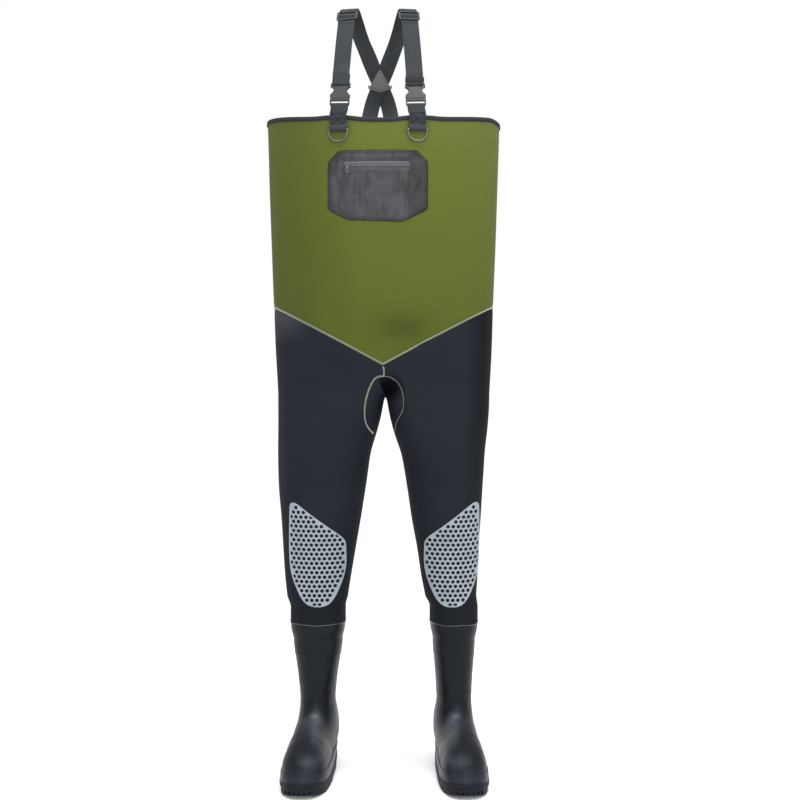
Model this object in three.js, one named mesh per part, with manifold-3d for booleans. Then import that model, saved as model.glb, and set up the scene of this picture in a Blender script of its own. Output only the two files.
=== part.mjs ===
// Chest waders: a neoprene bib and legs on a pair of moulded rubber boots, with webbing braces.
// Millimetres, +Z up. The toes point to -Y and the wearer's right side is on -X.
// Sections are worked out about the line of the ankles; the whole is then centred over its base.

import * as THREE from 'three';
import { mergeVertices } from 'three/addons/utils/BufferGeometryUtils.js';
import Module from 'manifold-3d';

const wasm = await Module();
wasm.setup();

// Clearances
const gap = 0.3;
const seamGap = 0.3;
const waistSeamGap = 0.7;
const sleeveClearance = 1.2;

// Neoprene suit
const neopreneWall = 5;
const rimHeight = 1412;
const rimFrontDrop = 21;
const rimBackDrop = 8;
const rimPull = 6;
const rimCornerDrop = 5;
const seamSideHeight = 1010;
const seamFrontHeight = 885;
const seamBackHeight = 905;
const crotchHeight = 820;
const crotchShift = 4;
const forkRise = 46;
const chestHalfWidth = 254;
const chestHalfDepth = 150;
const hipHalfWidth = 232;
const thighHalfDepth = 122;
const hemHeight = 324;
const bindingDepth = 6.5;
const bindingThickness = 1.5;
const gussetHalfWidth = 41;
const gussetHalfHeight = 66;
const gussetDrop = 24;

// Boots
const bootWall = 2.8;
const shaftTopHeight = 345;
const shaftHalfWidth = { right: 54, left: 46 };
const shaftHalfDepth = { right: 62, left: 68 };
const ankleHalfWidth = 38.5;
const ankleHalfDepth = 56;
const footLength = 300;
const heelBack = 80;
const ballHalfWidth = 51.5;
const instepHeight = 120;
const heelSoleThickness = 28;
const foreSoleThickness = 22;
const toeSpring = 10;
const archLift = 9;
const foxingHeight = 20;
const foxingProud = 1.4;
const soleProud = 2.4;
const soleStepHeight = 9;
const treadProud = 0.5;
const lugDepth = 6;
const lugGroove = 6;
const toeNotch = 3.4;
const insoleThickness = 4;
const collarLow = 289;
const collarProud = 6;
const toeOutDegrees = { right: 7.5, left: 6.5 };
const bootX = { right: -144, left: 154 };

// Knee pads and pocket
const kneePadThickness = 1.2;
const padWidth = { right: 122, left: 120 };
const padHeight = 226;
const padCentreX = { right: -142, left: 149 };
const padCentreHeight = 479;
const pocketWidth = 206;
const pocketHeight = 147;
const pocketThickness = 3.2;
const pocketDrop = 87;
const pocketCorner = 26;
const chestShift = -10;
const zipLength = 134;
const zipWidth = 9;
const zipDrop = 28;
const zipThickness = 2.2;
const pullLength = 19;
const pullWidth = 6.5;
const pullThickness = 1.4;

// Braces
const webWidth = 36;
const webThickness = 1.6;
const strapHalfSpacing = 82;
const strapRise = 249;
const ringWire = 1.75;
const ringHeight = 24;
const ringDrop = 28;
const buckleHeight = 48;
const buckleWidth = 42;
const buckleThickness = 9;
const buckleRise = 22;
const barThickness = 3;
const sliderHeight = 26;
const patchWidth = 50;
const patchHeight = 52;
const patchRise = 11;
const patchThickness = 2;
const backTabLength = 42;

// How finely the forms are divided
const outerColumns = 12;
const innerColumns = 6;
const bootColumns = 14;

// Torso sections: height as a share of the way from crotch to rim, the rest as shares of the chest's half sizes
const torsoSections = [
  { height: -0.2, halfWidth: 0.9, front: 0.84, back: 0.96 },
  { height: 0, halfWidth: 0.912, front: 0.88, back: 1.01 },
  { height: 0.16, halfWidth: 0.93, front: 0.95, back: 1.04 },
  { height: 0.33, halfWidth: 0.945, front: 0.99, back: 1.0 },
  { height: 0.66, halfWidth: 0.975, front: 1.02, back: 0.98 },
  { height: 1, halfWidth: 1, front: 1, back: 1 },
  { height: 1.1, halfWidth: 1.01, front: 1, back: 1 },
];

// Leg sections: height as a share of the way from crotch to hem, edges across as shares of the hip's half
// width for each leg, and depths as shares of the thigh's half depth
const legSections = [
  { height: 0, rightOuter: 1.0, rightInner: 0.06, leftInner: 0.1, leftOuter: 1.0, front: 1.02, back: 1.12 },
  { height: 0.08, rightOuter: 0.998, rightInner: 0.045, leftInner: 0.085, leftOuter: 0.982, front: 0.98, back: 1.08 },
  { height: 0.16, rightOuter: 1.0, rightInner: 0.07, leftInner: 0.1, leftOuter: 0.972, front: 0.94, back: 1.02 },
  { height: 0.27, rightOuter: 1.0, rightInner: 0.125, leftInner: 0.17, leftOuter: 0.955, front: 0.88, back: 0.95 },
  { height: 0.41, rightOuter: 0.99, rightInner: 0.17, leftInner: 0.22, leftOuter: 0.936, front: 0.8, back: 0.84 },
  { height: 0.54, rightOuter: 0.967, rightInner: 0.212, leftInner: 0.262, leftOuter: 0.919, front: 0.745, back: 0.73 },
  { height: 0.67, rightOuter: 0.949, rightInner: 0.258, leftInner: 0.313, leftOuter: 0.899, front: 0.655, back: 0.69 },
  { height: 0.8, rightOuter: 0.932, rightInner: 0.305, leftInner: 0.355, leftOuter: 0.889, front: 0.585, back: 0.69 },
  { height: 0.88, rightOuter: 0.916, rightInner: 0.333, leftInner: 0.389, leftOuter: 0.879, front: 0.56, back: 0.66 },
];

// Boot shaft sections: height as a share of the shaft's top, spread from the ankle's half width (0) to the
// shaft's (1), and depths as shares of the half depth at that spread
const shaftSections = [
  { height: 1, spread: 1, front: 0.9, back: 1.1 },
  { height: 0.87, spread: 0.98, front: 0.9, back: 1.1 },
  { height: 0.79, spread: 0.9, front: 0.9, back: 1.1 },
  { height: 0.7, spread: 0.58, front: 0.92, back: 1.08 },
  { height: 0.605, spread: 0.25, front: 0.96, back: 1.04 },
  { height: 0.51, spread: 0, front: 0.98, back: 1.02 },
];

// Foot sections: planes turned about the instep. The top and bottom ends are given along the foot, as shares
// of its length from the toe tip, and in height, as shares of the instep's height; the half width is a share of
// the ball's, the shift towards the big toe likewise, the equator says how low the widest line lies, and the
// two powers give the squareness above and below it
const footSections = [
  { topAt: 0.54, topZ: 1.3, botAt: 0.928, botZ: 1.24, halfWidth: 0.73, shift: 0, equator: 0, above: 2.1, below: 2.1 },
  { topAt: 0.515, topZ: 1.18, botAt: 0.945, botZ: 0.86, halfWidth: 0.79, shift: 0.03, equator: 0, above: 2.1, below: 2.8 },
  { topAt: 0.475, topZ: 1.08, botAt: 0.972, botZ: 0.5, halfWidth: 0.81, shift: 0.02, equator: 0.08, above: 2.2, below: 2.9 },
  { topAt: 0.422, topZ: 1.01, botAt: 0.985, botZ: 0.17, halfWidth: 0.8, shift: -0.04, equator: 0.1, above: 2.3, below: 2.5 },
  { topAt: 0.365, topZ: 0.94, botAt: 0.95, botZ: -0.22, halfWidth: 0.83, shift: -0.07, equator: 0, above: 2.5, below: 2.5 },
  { topAt: 0.305, topZ: 0.875, botAt: 0.8, botZ: -0.24, halfWidth: 0.905, shift: -0.06, equator: -0.2, above: 2.6, below: 2.9 },
  { topAt: 0.245, topZ: 0.81, botAt: 0.59, botZ: -0.24, halfWidth: 0.945, shift: -0.04, equator: -0.28, above: 2.6, below: 3.2 },
  { topAt: 0.185, topZ: 0.735, botAt: 0.39, botZ: -0.24, halfWidth: 0.96, shift: -0.01, equator: -0.3, above: 2.6, below: 3.2 },
  { topAt: 0.125, topZ: 0.64, botAt: 0.225, botZ: -0.24, halfWidth: 0.9, shift: 0.02, equator: -0.28, above: 2.5, below: 3 },
  { topAt: 0.07, topZ: 0.525, botAt: 0.115, botZ: -0.22, halfWidth: 0.74, shift: 0.05, equator: -0.2, above: 2.4, below: 2.7 },
  { topAt: 0.028, topZ: 0.39, botAt: 0.035, botZ: -0.17, halfWidth: 0.5, shift: 0.07, equator: -0.1, above: 2.2, below: 2.3 },
];
const toeTip = { at: 0, z: 0.14, shift: 0.08 };

// Side lines of the sole, from the heel (0) to the toe tip (1) along the foot: the height of its top as a share
// of the way from the forefoot's thickness to the heel's, and the share of the toe spring in it
const soleTopLine = [
  { along: -0.2, thickness: 1, spring: 0 },
  { along: 0.2, thickness: 1, spring: 0 },
  { along: 0.34, thickness: 0.75, spring: 0 },
  { along: 0.5, thickness: 0.25, spring: 0 },
  { along: 0.68, thickness: 0, spring: 0.05 },
  { along: 0.84, thickness: 0, spring: 0.3 },
  { along: 0.95, thickness: 0, spring: 0.95 },
  { along: 1.15, thickness: 0, spring: 2.4 },
];

// Underside of the sole: lift of the arch and of the toe as shares of their named sizes
const soleBottomLine = [
  { along: -0.2, arch: 0.7, spring: 0 },
  { along: 0.03, arch: 0, spring: 0 },
  { along: 0.29, arch: 0, spring: 0 },
  { along: 0.31, arch: 1, spring: 0 },
  { along: 0.48, arch: 0.6, spring: 0 },
  { along: 0.55, arch: 0, spring: 0 },
  { along: 0.8, arch: 0, spring: 0 },
  { along: 0.9, arch: 0, spring: 0.35 },
  { along: 1, arch: 0, spring: 1 },
  { along: 1.15, arch: 0, spring: 2.2 },
];
const grooveLines = [0.09, 0.19, 0.6, 0.68, 0.76, 0.84];
const notchLines = [-0.5, -0.3, -0.1, 0.1, 0.3, 0.5];

// Knee pad corners as shares of the pad's half sizes, going round from the outer top one; round says how far
// the curve at the corner reaches along its two sides
const padCorners = [
  { across: 0.94, up: 1.06, round: 0.19 },
  { across: -1.0, up: 0.28, round: 0.16 },
  { across: -1.02, up: -0.36, round: 0.42 },
  { across: -0.48, up: -1.02, round: 0.42 },
  { across: 0.42, up: -1.02, round: 0.42 },
  { across: 0.94, up: -0.42, round: 0.42 },
  { across: 1.0, up: 0.05, round: 0.42 },
];

// Brace line over one shoulder, from the front rim to the back: across as a share of the straps' half
// spacing, depth as a share of the chest's half depth and rise as a share of the braces' height above the rim
const braceLine = [
  { across: 0.956, depth: -0.93, rise: 0.145 },
  { across: 0.925, depth: -0.9, rise: 0.327 },
  { across: 0.875, depth: -0.83, rise: 0.562 },
  { across: 0.828, depth: -0.76, rise: 0.743 },
  { across: 0.799, depth: -0.7, rise: 0.852 },
  { across: 0.78, depth: -0.62, rise: 0.917 },
  { across: 0.755, depth: -0.48, rise: 0.969 },
  { across: 0.716, depth: -0.3, rise: 0.989 },
  { across: 0.651, depth: -0.1, rise: 0.955 },
  { across: 0.537, depth: 0.13, rise: 0.865 },
  { across: 0.393, depth: 0.36, rise: 0.768 },
  { across: 0.195, depth: 0.6, rise: 0.647 },
  { across: -0.032, depth: 0.8, rise: 0.512 },
  { across: -0.221, depth: 0.94, rise: 0.363 },
  { across: -0.378, depth: 1.02, rise: 0.151 },
];

// The tri-glide sits just before the top of the brace line, whose face turns from the front to the sky
// between these shares of its length
const sliderHeightShare = 0.88;
const turnStart = 0.28;
const crest = 0.48;

const colours = {
  neopreneGreen: 0x68702f,
  neopreneBlack: 0x24272c,
  rubber: 0x24282e,
  tread: 0x1f2226,
  web: 0x3c4043,
  pocket: 0x4c4d52,
  print: 0xa4adb6,
  plastic: 0x4a4a4c,
  metal: 0x7d7f80,
  binding: 0x2f3134,
  insole: 0x3a3c40,
};

function material(colour, roughness = 0.7, metalness = 0) {
  return new THREE.MeshStandardMaterial({ color: colour, roughness, metalness });
}

const vector = (x, y, z) => new THREE.Vector3(x, y, z);
const mix = (a, b, t) => a + (b - a) * t;
const smooth = (t) => {
  const c = Math.min(1, Math.max(0, t));
  return c * c * (3 - 2 * c);
};
const power = (v, n) => Math.sign(v) * Math.abs(v) ** (2 / n);

// Smooth value of one column of a table at a key, through its rows
function sample(table, key, column, at) {
  const rising = table[table.length - 1][key] > table[0][key];
  const rows = rising ? table : [...table].reverse();
  let i = 0;
  while (i < rows.length - 2 && at > rows[i + 1][key]) i += 1;
  const [r0, r1, r2, r3] = [rows[Math.max(0, i - 1)], rows[i], rows[i + 1], rows[Math.min(rows.length - 1, i + 2)]];
  const width = r2[key] - r1[key];
  const t = Math.min(1, Math.max(0, (at - r1[key]) / width));
  const slope = (a, b) => ((b[column] - a[column]) / (b[key] - a[key])) * width;
  const m1 = slope(r0, r2);
  const m2 = slope(r1, r3);
  const t2 = t * t;
  const t3 = t2 * t;
  return (2 * t3 - 3 * t2 + 1) * r1[column] + (t3 - 2 * t2 + t) * m1 + (3 * t2 - 2 * t3) * r2[column] + (t3 - t2) * m2;
}

// Skins: open sheets of quads and triangles, thickened into walls or filled into bodies

class Skin {
  constructor() {
    this.points = [];
    this.faces = [];
  }

  add(point) {
    this.points.push(point);
    return this.points.length - 1;
  }

  // Quads between two rows of point numbers, the second on the far side when seen from outside
  band(row, next, turned = false) {
    row.forEach((_, k) => {
      const j = (k + 1) % row.length;
      const face = [row[k], row[j], next[j], next[k]];
      this.faces.push(turned ? face.reverse() : face);
    });
  }

  normals() {
    const sums = this.points.map(() => vector(0, 0, 0));
    for (const face of this.faces) {
      for (let i = 1; i + 1 < face.length; i += 1) {
        const [a, b, c] = [face[0], face[i], face[i + 1]].map((k) => this.points[k]);
        const normal = vector(0, 0, 0).subVectors(b, a).cross(vector(0, 0, 0).subVectors(c, a));
        for (const k of face) sums[k].add(normal);
      }
    }
    return sums.map((sum) => sum.normalize());
  }

  // Edges that only one face has
  edges() {
    const seen = new Map();
    for (const face of this.faces) {
      face.forEach((a, i) => seen.set(`${a}_${face[(i + 1) % face.length]}`, [a, face[(i + 1) % face.length]]));
    }
    return [...seen.values()].filter(([a, b]) => !seen.has(`${b}_${a}`));
  }

  // Moves each point towards the middle of its neighbours, by its own share
  relax(shares, rounds) {
    const neighbours = this.points.map(() => new Set());
    for (const face of this.faces) {
      face.forEach((a, i) => {
        const b = face[(i + 1) % face.length];
        neighbours[a].add(b);
        neighbours[b].add(a);
      });
    }
    for (let round = 0; round < rounds; round += 1) {
      this.points = this.points.map((point, k) => {
        const share = shares.get(k) ?? 0;
        const middle = vector(0, 0, 0);
        for (const j of neighbours[k]) middle.addScaledVector(this.points[j], 1 / neighbours[k].size);
        return point.clone().lerp(middle, share);
      });
    }
  }

  offset(distance) {
    const normals = this.normals();
    return this.points.map((p, i) => p.clone().addScaledVector(normals[i], distance));
  }

  // The wall between two distances from the skin, closed along the skin's open edges
  wall(outer, inner) {
    const count = this.points.length;
    const points = [...this.offset(outer), ...this.offset(inner)];
    const faces = [];
    for (const face of this.faces) {
      faces.push(face);
      faces.push([face[0], ...face.slice(1).reverse()].map((k) => k + count));
    }
    for (const [a, b] of this.edges()) faces.push([b, a, a + count, b + count]);
    return closed(points, faces);
  }

  // The body inside the skin at a distance, its open edge closed flat
  filled(distance) {
    const points = this.offset(distance);
    const faces = [...this.faces];
    const next = new Map(this.edges().map(([a, b]) => [b, a]));
    const loop = [next.keys().next().value];
    while (loop.length < next.size) loop.push(next.get(loop[loop.length - 1]));
    const middle = vector(0, 0, 0);
    for (const k of loop) middle.addScaledVector(points[k], 1 / loop.length);
    points.push(middle);
    loop.forEach((k, i) => faces.push([k, loop[(i + 1) % loop.length], points.length - 1]));
    return closed(points, faces);
  }
}

// Solids

function solid(geometry) {
  const bare = geometry.clone();
  bare.deleteAttribute('normal');
  bare.deleteAttribute('uv');
  const merged = mergeVertices(bare, 1e-4);
  return new wasm.Manifold(
    new wasm.Mesh({
      numProp: 3,
      vertProperties: new Float32Array(merged.attributes.position.array),
      triVerts: new Uint32Array(merged.index.array),
    }),
  );
}

function closed(points, faces) {
  const index = [];
  for (const face of faces) {
    for (let i = 1; i + 1 < face.length; i += 1) index.push(face[0], face[i], face[i + 1]);
  }
  const geometry = new THREE.BufferGeometry();
  geometry.setAttribute('position', new THREE.Float32BufferAttribute(points.flatMap((p) => [p.x, p.y, p.z]), 3));
  geometry.setIndex(index);
  return solid(geometry);
}

function geometryOf(manifold) {
  const mesh = manifold.getMesh();
  const geometry = new THREE.BufferGeometry();
  geometry.setAttribute('position', new THREE.Float32BufferAttribute(mesh.vertProperties, 3));
  geometry.setIndex(new THREE.Uint32BufferAttribute(mesh.triVerts, 1));
  geometry.computeVertexNormals();
  return geometry;
}

function placed(manifold, matrix) {
  return solid(geometryOf(manifold).applyMatrix4(matrix));
}

function extruded(outline, depth) {
  const shape = new THREE.Shape(outline.map(([a, b]) => new THREE.Vector2(a, b)));
  return new THREE.ExtrudeGeometry(shape, { depth, bevelEnabled: false });
}

// A prism of an outline given in x and z, between two y values
function frontPrism(outline, yFrom, yTo) {
  return solid(extruded(outline, yTo - yFrom).rotateX(Math.PI / 2).translate(0, yTo, 0));
}

// A prism of an outline given in y and z, from one x to the other
function sidePrism(outline, xFrom, xTo) {
  const turn = new THREE.Matrix4().makeBasis(vector(0, 1, 0), vector(0, 0, 1), vector(1, 0, 0));
  return solid(extruded(outline, xTo - xFrom).applyMatrix4(turn).translate(xFrom, 0, 0));
}

function block(width, depth, height, x, y, z) {
  return solid(new THREE.BoxGeometry(width, depth, height).translate(x, y, z));
}

// A pin or hole along x
function rod(radius, length, y, z) {
  return solid(new THREE.CylinderGeometry(radius, radius, length, 10).rotateZ(Math.PI / 2).translate(0, y, z));
}

// A flat plate in x and y, as thick as given about z = 0, its edges bevelled
function plate(outline, thickness, bevel = 0) {
  const shape = new THREE.Shape(outline.map(([x, y]) => new THREE.Vector2(x, y)));
  const geometry = new THREE.ExtrudeGeometry(shape, {
    depth: thickness - bevel * 2,
    bevelEnabled: bevel > 0,
    bevelThickness: bevel,
    bevelSize: bevel,
    bevelOffset: -bevel,
    bevelSegments: 1,
  });
  return solid(geometry.translate(0, 0, bevel - thickness / 2));
}

function mirroredOutline(half) {
  return [...half, ...[...half].reverse().map(([x, y]) => [-x, y])];
}

// Corners given as [x, z, round] are joined by straight lines and each is rounded by a curve
function roundedOutline(corners, steps) {
  return corners.flatMap(([x, z, round], i) => {
    const before = corners[(i + corners.length - 1) % corners.length];
    const after = corners[(i + 1) % corners.length];
    const curve = new THREE.QuadraticBezierCurve(
      new THREE.Vector2(mix(x, before[0], round), mix(z, before[1], round)),
      new THREE.Vector2(x, z),
      new THREE.Vector2(mix(x, after[0], round), mix(z, after[1], round)),
    );
    return curve.getPoints(steps).map((p) => [p.x, p.y]);
  });
}

// Torso

const torsoPower = 2.25;
const torsoColumns = outerColumns * 2;

// The turn runs from the front middle (0) over the wearer's right side to the back middle (pi) and round
const torsoTurns = Array.from({ length: torsoColumns }, (_, k) => (k / torsoColumns) * Math.PI * 2);

function torsoAt(z) {
  const height = (z - crotchHeight) / (rimHeight - crotchHeight);
  return {
    halfWidth: sample(torsoSections, 'height', 'halfWidth', height) * chestHalfWidth,
    front: sample(torsoSections, 'height', 'front', height) * chestHalfDepth,
    back: sample(torsoSections, 'height', 'back', height) * chestHalfDepth,
  };
}

function torsoPoint(turn, z) {
  const section = torsoAt(z);
  const along = power(Math.cos(turn), torsoPower);
  return vector(
    -section.halfWidth * power(Math.sin(turn), torsoPower),
    -along * (along > 0 ? section.front : section.back),
    z,
  );
}

// The rim dips at the front and back middles and is drawn up by the two front straps
function rimAt(turn) {
  const facing = Math.cos(turn);
  const dip = facing * facing * (facing > 0 ? rimFrontDrop : rimBackDrop);
  const across = -chestHalfWidth * power(Math.sin(turn), torsoPower);
  const pullFrom = (sign) => Math.exp(-(((across - chestShift - sign * strapHalfSpacing) / webWidth) ** 2));
  const corner = rimCornerDrop * smooth(across / chestHalfWidth / 0.1 - 9);
  return rimHeight - dip - corner + (facing > 0 ? rimPull * (pullFrom(-1) + pullFrom(1)) : 0);
}

const frontRimHeight = rimHeight - rimFrontDrop + rimPull;
const backRimHeight = rimHeight - rimBackDrop;

function seamAt(turn) {
  const across = Math.abs(power(Math.sin(turn), torsoPower));
  return mix(Math.cos(turn) > 0 ? seamFrontHeight : seamBackHeight, seamSideHeight, across);
}

const bibRows = 4;

function bibSkin() {
  const skin = new Skin();
  const rows = Array.from({ length: bibRows + 1 }, (_, row) =>
    torsoTurns.map((turn) =>
      skin.add(torsoPoint(turn, mix(rimAt(turn), seamAt(turn) + waistSeamGap / 2, row / bibRows))),
    ),
  );
  for (let row = 0; row < bibRows; row += 1) skin.band(rows[row], rows[row + 1]);
  return skin;
}

// Boots, about the ankle of each: across is positive towards the other boot

const shaftPower = 2.15;
const sideOf = { right: -1, left: 1 };

function placeBoot(side, across, y, z) {
  const sign = sideOf[side];
  const point = vector(-sign * across, y, z);
  point.applyAxisAngle(vector(0, 0, 1), THREE.MathUtils.degToRad(sign * toeOutDegrees[side]));
  point.x += bootX[side];
  return point;
}

// A point of the shaft, the turn running from the front over the outer side to the back and round
function shaftPoint(side, turn, z, proud = 0) {
  const height = z / shaftTopHeight;
  const spread = sample(shaftSections, 'height', 'spread', height);
  const halfWidth = mix(ankleHalfWidth, shaftHalfWidth[side], spread) + proud;
  const halfDepth = mix(ankleHalfDepth, shaftHalfDepth[side], spread);
  const along = power(Math.cos(turn), shaftPower);
  const reach = sample(shaftSections, 'height', along > 0 ? 'front' : 'back', height) * halfDepth + proud;
  return placeBoot(side, -halfWidth * power(Math.sin(turn), shaftPower), -along * reach, z);
}

const alongFoot = (share) => heelBack - footLength * share;
const fromToe = (share) => heelBack - footLength * (1 - share);

function footPoint(side, section, turn) {
  const top = new THREE.Vector2(fromToe(section.topAt), section.topZ * instepHeight);
  const bottom = new THREE.Vector2(fromToe(section.botAt), section.botZ * instepHeight);
  const rise = Math.cos(turn);
  const squareness = rise > 0 ? section.above : section.below;
  const swing = power(rise, squareness);
  const along = section.equator + swing * (rise > 0 ? 1 - section.equator : 1 + section.equator);
  const across = section.shift - section.halfWidth * power(Math.sin(turn), squareness);
  const here = bottom.lerp(top, (along + 1) / 2);
  return placeBoot(side, across * ballHalfWidth, here.x, here.y);
}

const bootTurns = Array.from({ length: bootColumns }, (_, k) => (k / bootColumns) * Math.PI * 2);

function bootSkin(side) {
  const skin = new Skin();
  const shaft = shaftSections.map(({ height }) => height * shaftTopHeight);
  const rings = [
    ...shaft.map((z) => bootTurns.map((turn) => skin.add(shaftPoint(side, turn, z)))),
    ...footSections.map((section) => bootTurns.map((turn) => skin.add(footPoint(side, section, turn)))),
  ];
  const turned = side === 'left';
  for (let row = 0; row + 1 < rings.length; row += 1) skin.band(rings[row], rings[row + 1], turned);
  const tip = skin.add(placeBoot(side, toeTip.shift * ballHalfWidth, fromToe(toeTip.at), toeTip.z * instepHeight));
  const last = rings[rings.length - 1];
  last.forEach((point, k) => {
    const face = [point, last[(k + 1) % bootColumns], tip];
    skin.faces.push(turned ? face.reverse() : face);
  });
  return skin;
}

// A band round the shaft, thickest where it meets the trouser's hem
function bootCollar(side) {
  const top = hemHeight - gap;
  const buried = -bootWall / 2;
  const profile = [
    [collarLow, buried],
    [collarLow, 0.3],
    [mix(collarLow, top, 0.5), collarProud * 0.7],
    [top, collarProud],
    [top, buried],
  ];
  const skin = new Skin();
  const rings = profile.map(([z, proud]) => bootTurns.map((turn) => skin.add(shaftPoint(side, turn, z, proud))));
  rings.forEach((ring, i) => skin.band(ring, rings[(i + 1) % rings.length], side === 'right'));
  return closed(skin.points, skin.faces);
}

const soleTop = (lift) =>
  soleTopLine.map(({ along, thickness, spring }) => [
    alongFoot(along),
    mix(foreSoleThickness, heelSoleThickness, thickness) + spring * toeSpring + lift,
  ]);
const soleBottom = () =>
  soleBottomLine.map(({ along, arch, spring }) => [alongFoot(along), arch * archLift + spring * toeSpring]);

const farAcross = 420;
const farAbove = 700;

function bootPieces(side) {
  const skin = bootSkin(side);
  const between = (low, high) => sidePrism([...low].reverse().concat(high), -farAcross, farAcross);
  const above = (low) => between(low, low.map(([y]) => [y, farAbove]));
  const buried = -bootWall / 2;

  // The wall of the last, thicker round the foot's edge and below the trouser's hem
  const foxing = skin.wall(foxingProud, buried).intersect(between(soleTop(0), soleTop(foxingHeight)));
  const upper = skin.wall(0, -bootWall).add(foxing).add(bootCollar(side)).intersect(above(soleTop(gap)));

  // A proud step under the upper and the tread below it, cut into lugs
  const bite = 0.01;
  const step = skin.filled(soleProud).intersect(between(soleTop(-soleStepHeight - bite), soleTop(0)));
  const tread = skin.filled(treadProud).intersect(between(soleBottom(), soleTop(-soleStepHeight)));
  const outsole = lugCuts(side).reduce((body, cut) => body.subtract(cut), step.add(tread));

  const insole = skin
    .filled(-bootWall - gap * 1.5)
    .intersect(between(soleTop(gap), soleTop(gap + insoleThickness)));
  return { upper, outsole, insole };
}

// Cross grooves under the heel and forefoot, and notches round the toe
function lugCuts(side) {
  const turn = new THREE.Matrix4()
    .makeTranslation(bootX[side], 0, 0)
    .multiply(new THREE.Matrix4().makeRotationZ(THREE.MathUtils.degToRad(sideOf[side] * toeOutDegrees[side])));
  const grooves = grooveLines.map((along) =>
    block(ballHalfWidth * 3, lugGroove, lugDepth * 2, 0, alongFoot(along), 0),
  );
  const notchLength = footLength * 0.14;
  const notches = notchLines.map((across) =>
    block(toeNotch, notchLength, (lugDepth + toeSpring) * 2, across * ballHalfWidth, fromToe(0.045), 0),
  );
  return [...grooves, ...notches].map((cut) => placed(cut, turn));
}

// Legs

const forkTurn = 0.6;
const hipRows = 3;
const forkLength = 0.26;
const legShares = [0.04, 0.09, 0.15, 0.22, 0.31, 0.43, 0.56, 0.69, 0.8, 0.88, 0.94, 1];
const legPower = 2.1;
const relaxRounds = 6;

// Turns of a leg's columns: the outer ones run from the front middle to the back middle, the inner ones back
const legTurns = [
  ...Array.from({ length: outerColumns + 1 }, (_, k) => mix(-forkTurn, Math.PI + forkTurn, k / outerColumns)),
  ...Array.from({ length: innerColumns - 1 }, (_, i) =>
    mix(Math.PI + forkTurn, Math.PI * 2 - forkTurn, (i + 1) / innerColumns),
  ),
];

function legPoint(side, turn, share) {
  const z = mix(crotchHeight, hemHeight, share);
  const free = legSections[legSections.length - 1].height;
  const value = (column) => sample(legSections, 'height', column, Math.min(share, free));
  const outer = value(`${side}Outer`) * hipHalfWidth;
  const inner = value(`${side}Inner`) * hipHalfWidth;
  const along = power(Math.cos(turn), legPower);
  const across = (outer + inner) / 2 + ((outer - inner) / 2) * power(Math.sin(turn), legPower);
  const depth = value(along > 0 ? 'front' : 'back') * thighHalfDepth;
  const body = vector(sideOf[side] * across, -along * depth, z);
  const sleeve = shaftPoint(side, turn, z, sleeveClearance + neopreneWall);
  const bonded = (crotchHeight - shaftTopHeight - neopreneWall * 2) / (crotchHeight - hemHeight);
  return body.lerp(sleeve, smooth((share - free) / (bonded - free)));
}

// The crotch line from the back middle (0) to the front middle (1)
function crotchPoint(share) {
  const section = torsoAt(crotchHeight + forkRise);
  const swing = Math.cos(share * Math.PI);
  return vector(
    crotchShift,
    swing * (swing > 0 ? section.back : section.front),
    crotchHeight + forkRise * (1 - Math.sin(share * Math.PI) ** 0.9),
  );
}

function trouserSkin() {
  const skin = new Skin();
  const shares = new Map();
  const forkHeight = (turn) => crotchHeight + forkRise * Math.abs(Math.cos(turn)) ** 1.5;
  const hips = Array.from({ length: hipRows + 1 }, (_, row) =>
    torsoTurns.map((turn) => {
      const down = row / hipRows;
      const point = torsoPoint(turn, mix(seamAt(turn) - waistSeamGap / 2, forkHeight(turn), down));
      point.x += crotchShift * Math.abs(Math.cos(turn)) * down;
      const number = skin.add(point);
      shares.set(number, down * down * 0.5 * (1 - smooth(Math.abs(Math.sin(turn)))));
      return number;
    }),
  );
  for (let row = 0; row < hipRows; row += 1) skin.band(hips[row], hips[row + 1]);

  const fork = hips[hipRows];
  const crotch = Array.from({ length: innerColumns - 1 }, (_, i) => skin.add(crotchPoint((i + 1) / innerColumns)));
  for (const number of crotch) shares.set(number, 0.25);
  for (const side of ['right', 'left']) {
    const outer = Array.from({ length: outerColumns + 1 }, (_, k) =>
      side === 'right' ? fork[k] : fork[(torsoColumns - k) % torsoColumns],
    );
    const top = [...outer, ...crotch];
    let previous = top;
    for (const share of legShares) {
      const blend = smooth(share / forkLength);
      const ring = legTurns.map((turn, k) => {
        const from = skin.points[top[k]];
        const to = legPoint(side, turn, share);
        const drop = (from.z - crotchHeight) * (1 - blend);
        const number = skin.add(vector(mix(from.x, to.x, blend), mix(from.y, to.y, blend), to.z + drop));
        shares.set(number, 0.5 * (1 - smooth(share / forkLength / 1.3)) * (1 - smooth(Math.sin(turn))));
        return number;
      });
      skin.band(previous, ring, side === 'left');
      previous = ring;
    }
  }
  skin.relax(shares, relaxRounds);
  return skin;
}

// Pieces cut from the trousers: two legs, and the gusset between them
function trouserPieces(skin) {
  const whole = skin.wall(0, -neopreneWall);
  const gussetSteps = 18;
  const gussetPrism = (grow) => {
    const outline = new THREE.EllipseCurve(
      crotchShift / 2,
      crotchHeight - gussetDrop,
      gussetHalfWidth + grow,
      gussetHalfHeight + grow,
    );
    return frontPrism(outline.getPoints(gussetSteps).slice(1).map((p) => [p.x, p.y]), -farAcross, farAcross);
  };
  const panels = whole.subtract(gussetPrism(seamGap));
  const half = (from, to) => block(to - from, farAcross * 2, farAbove * 4, (from + to) / 2, 0, 0);
  return {
    gusset: whole.intersect(gussetPrism(0)),
    right: panels.intersect(half(-farAcross, -seamGap / 2)),
    left: panels.intersect(half(seamGap / 2, farAcross)),
  };
}

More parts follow.
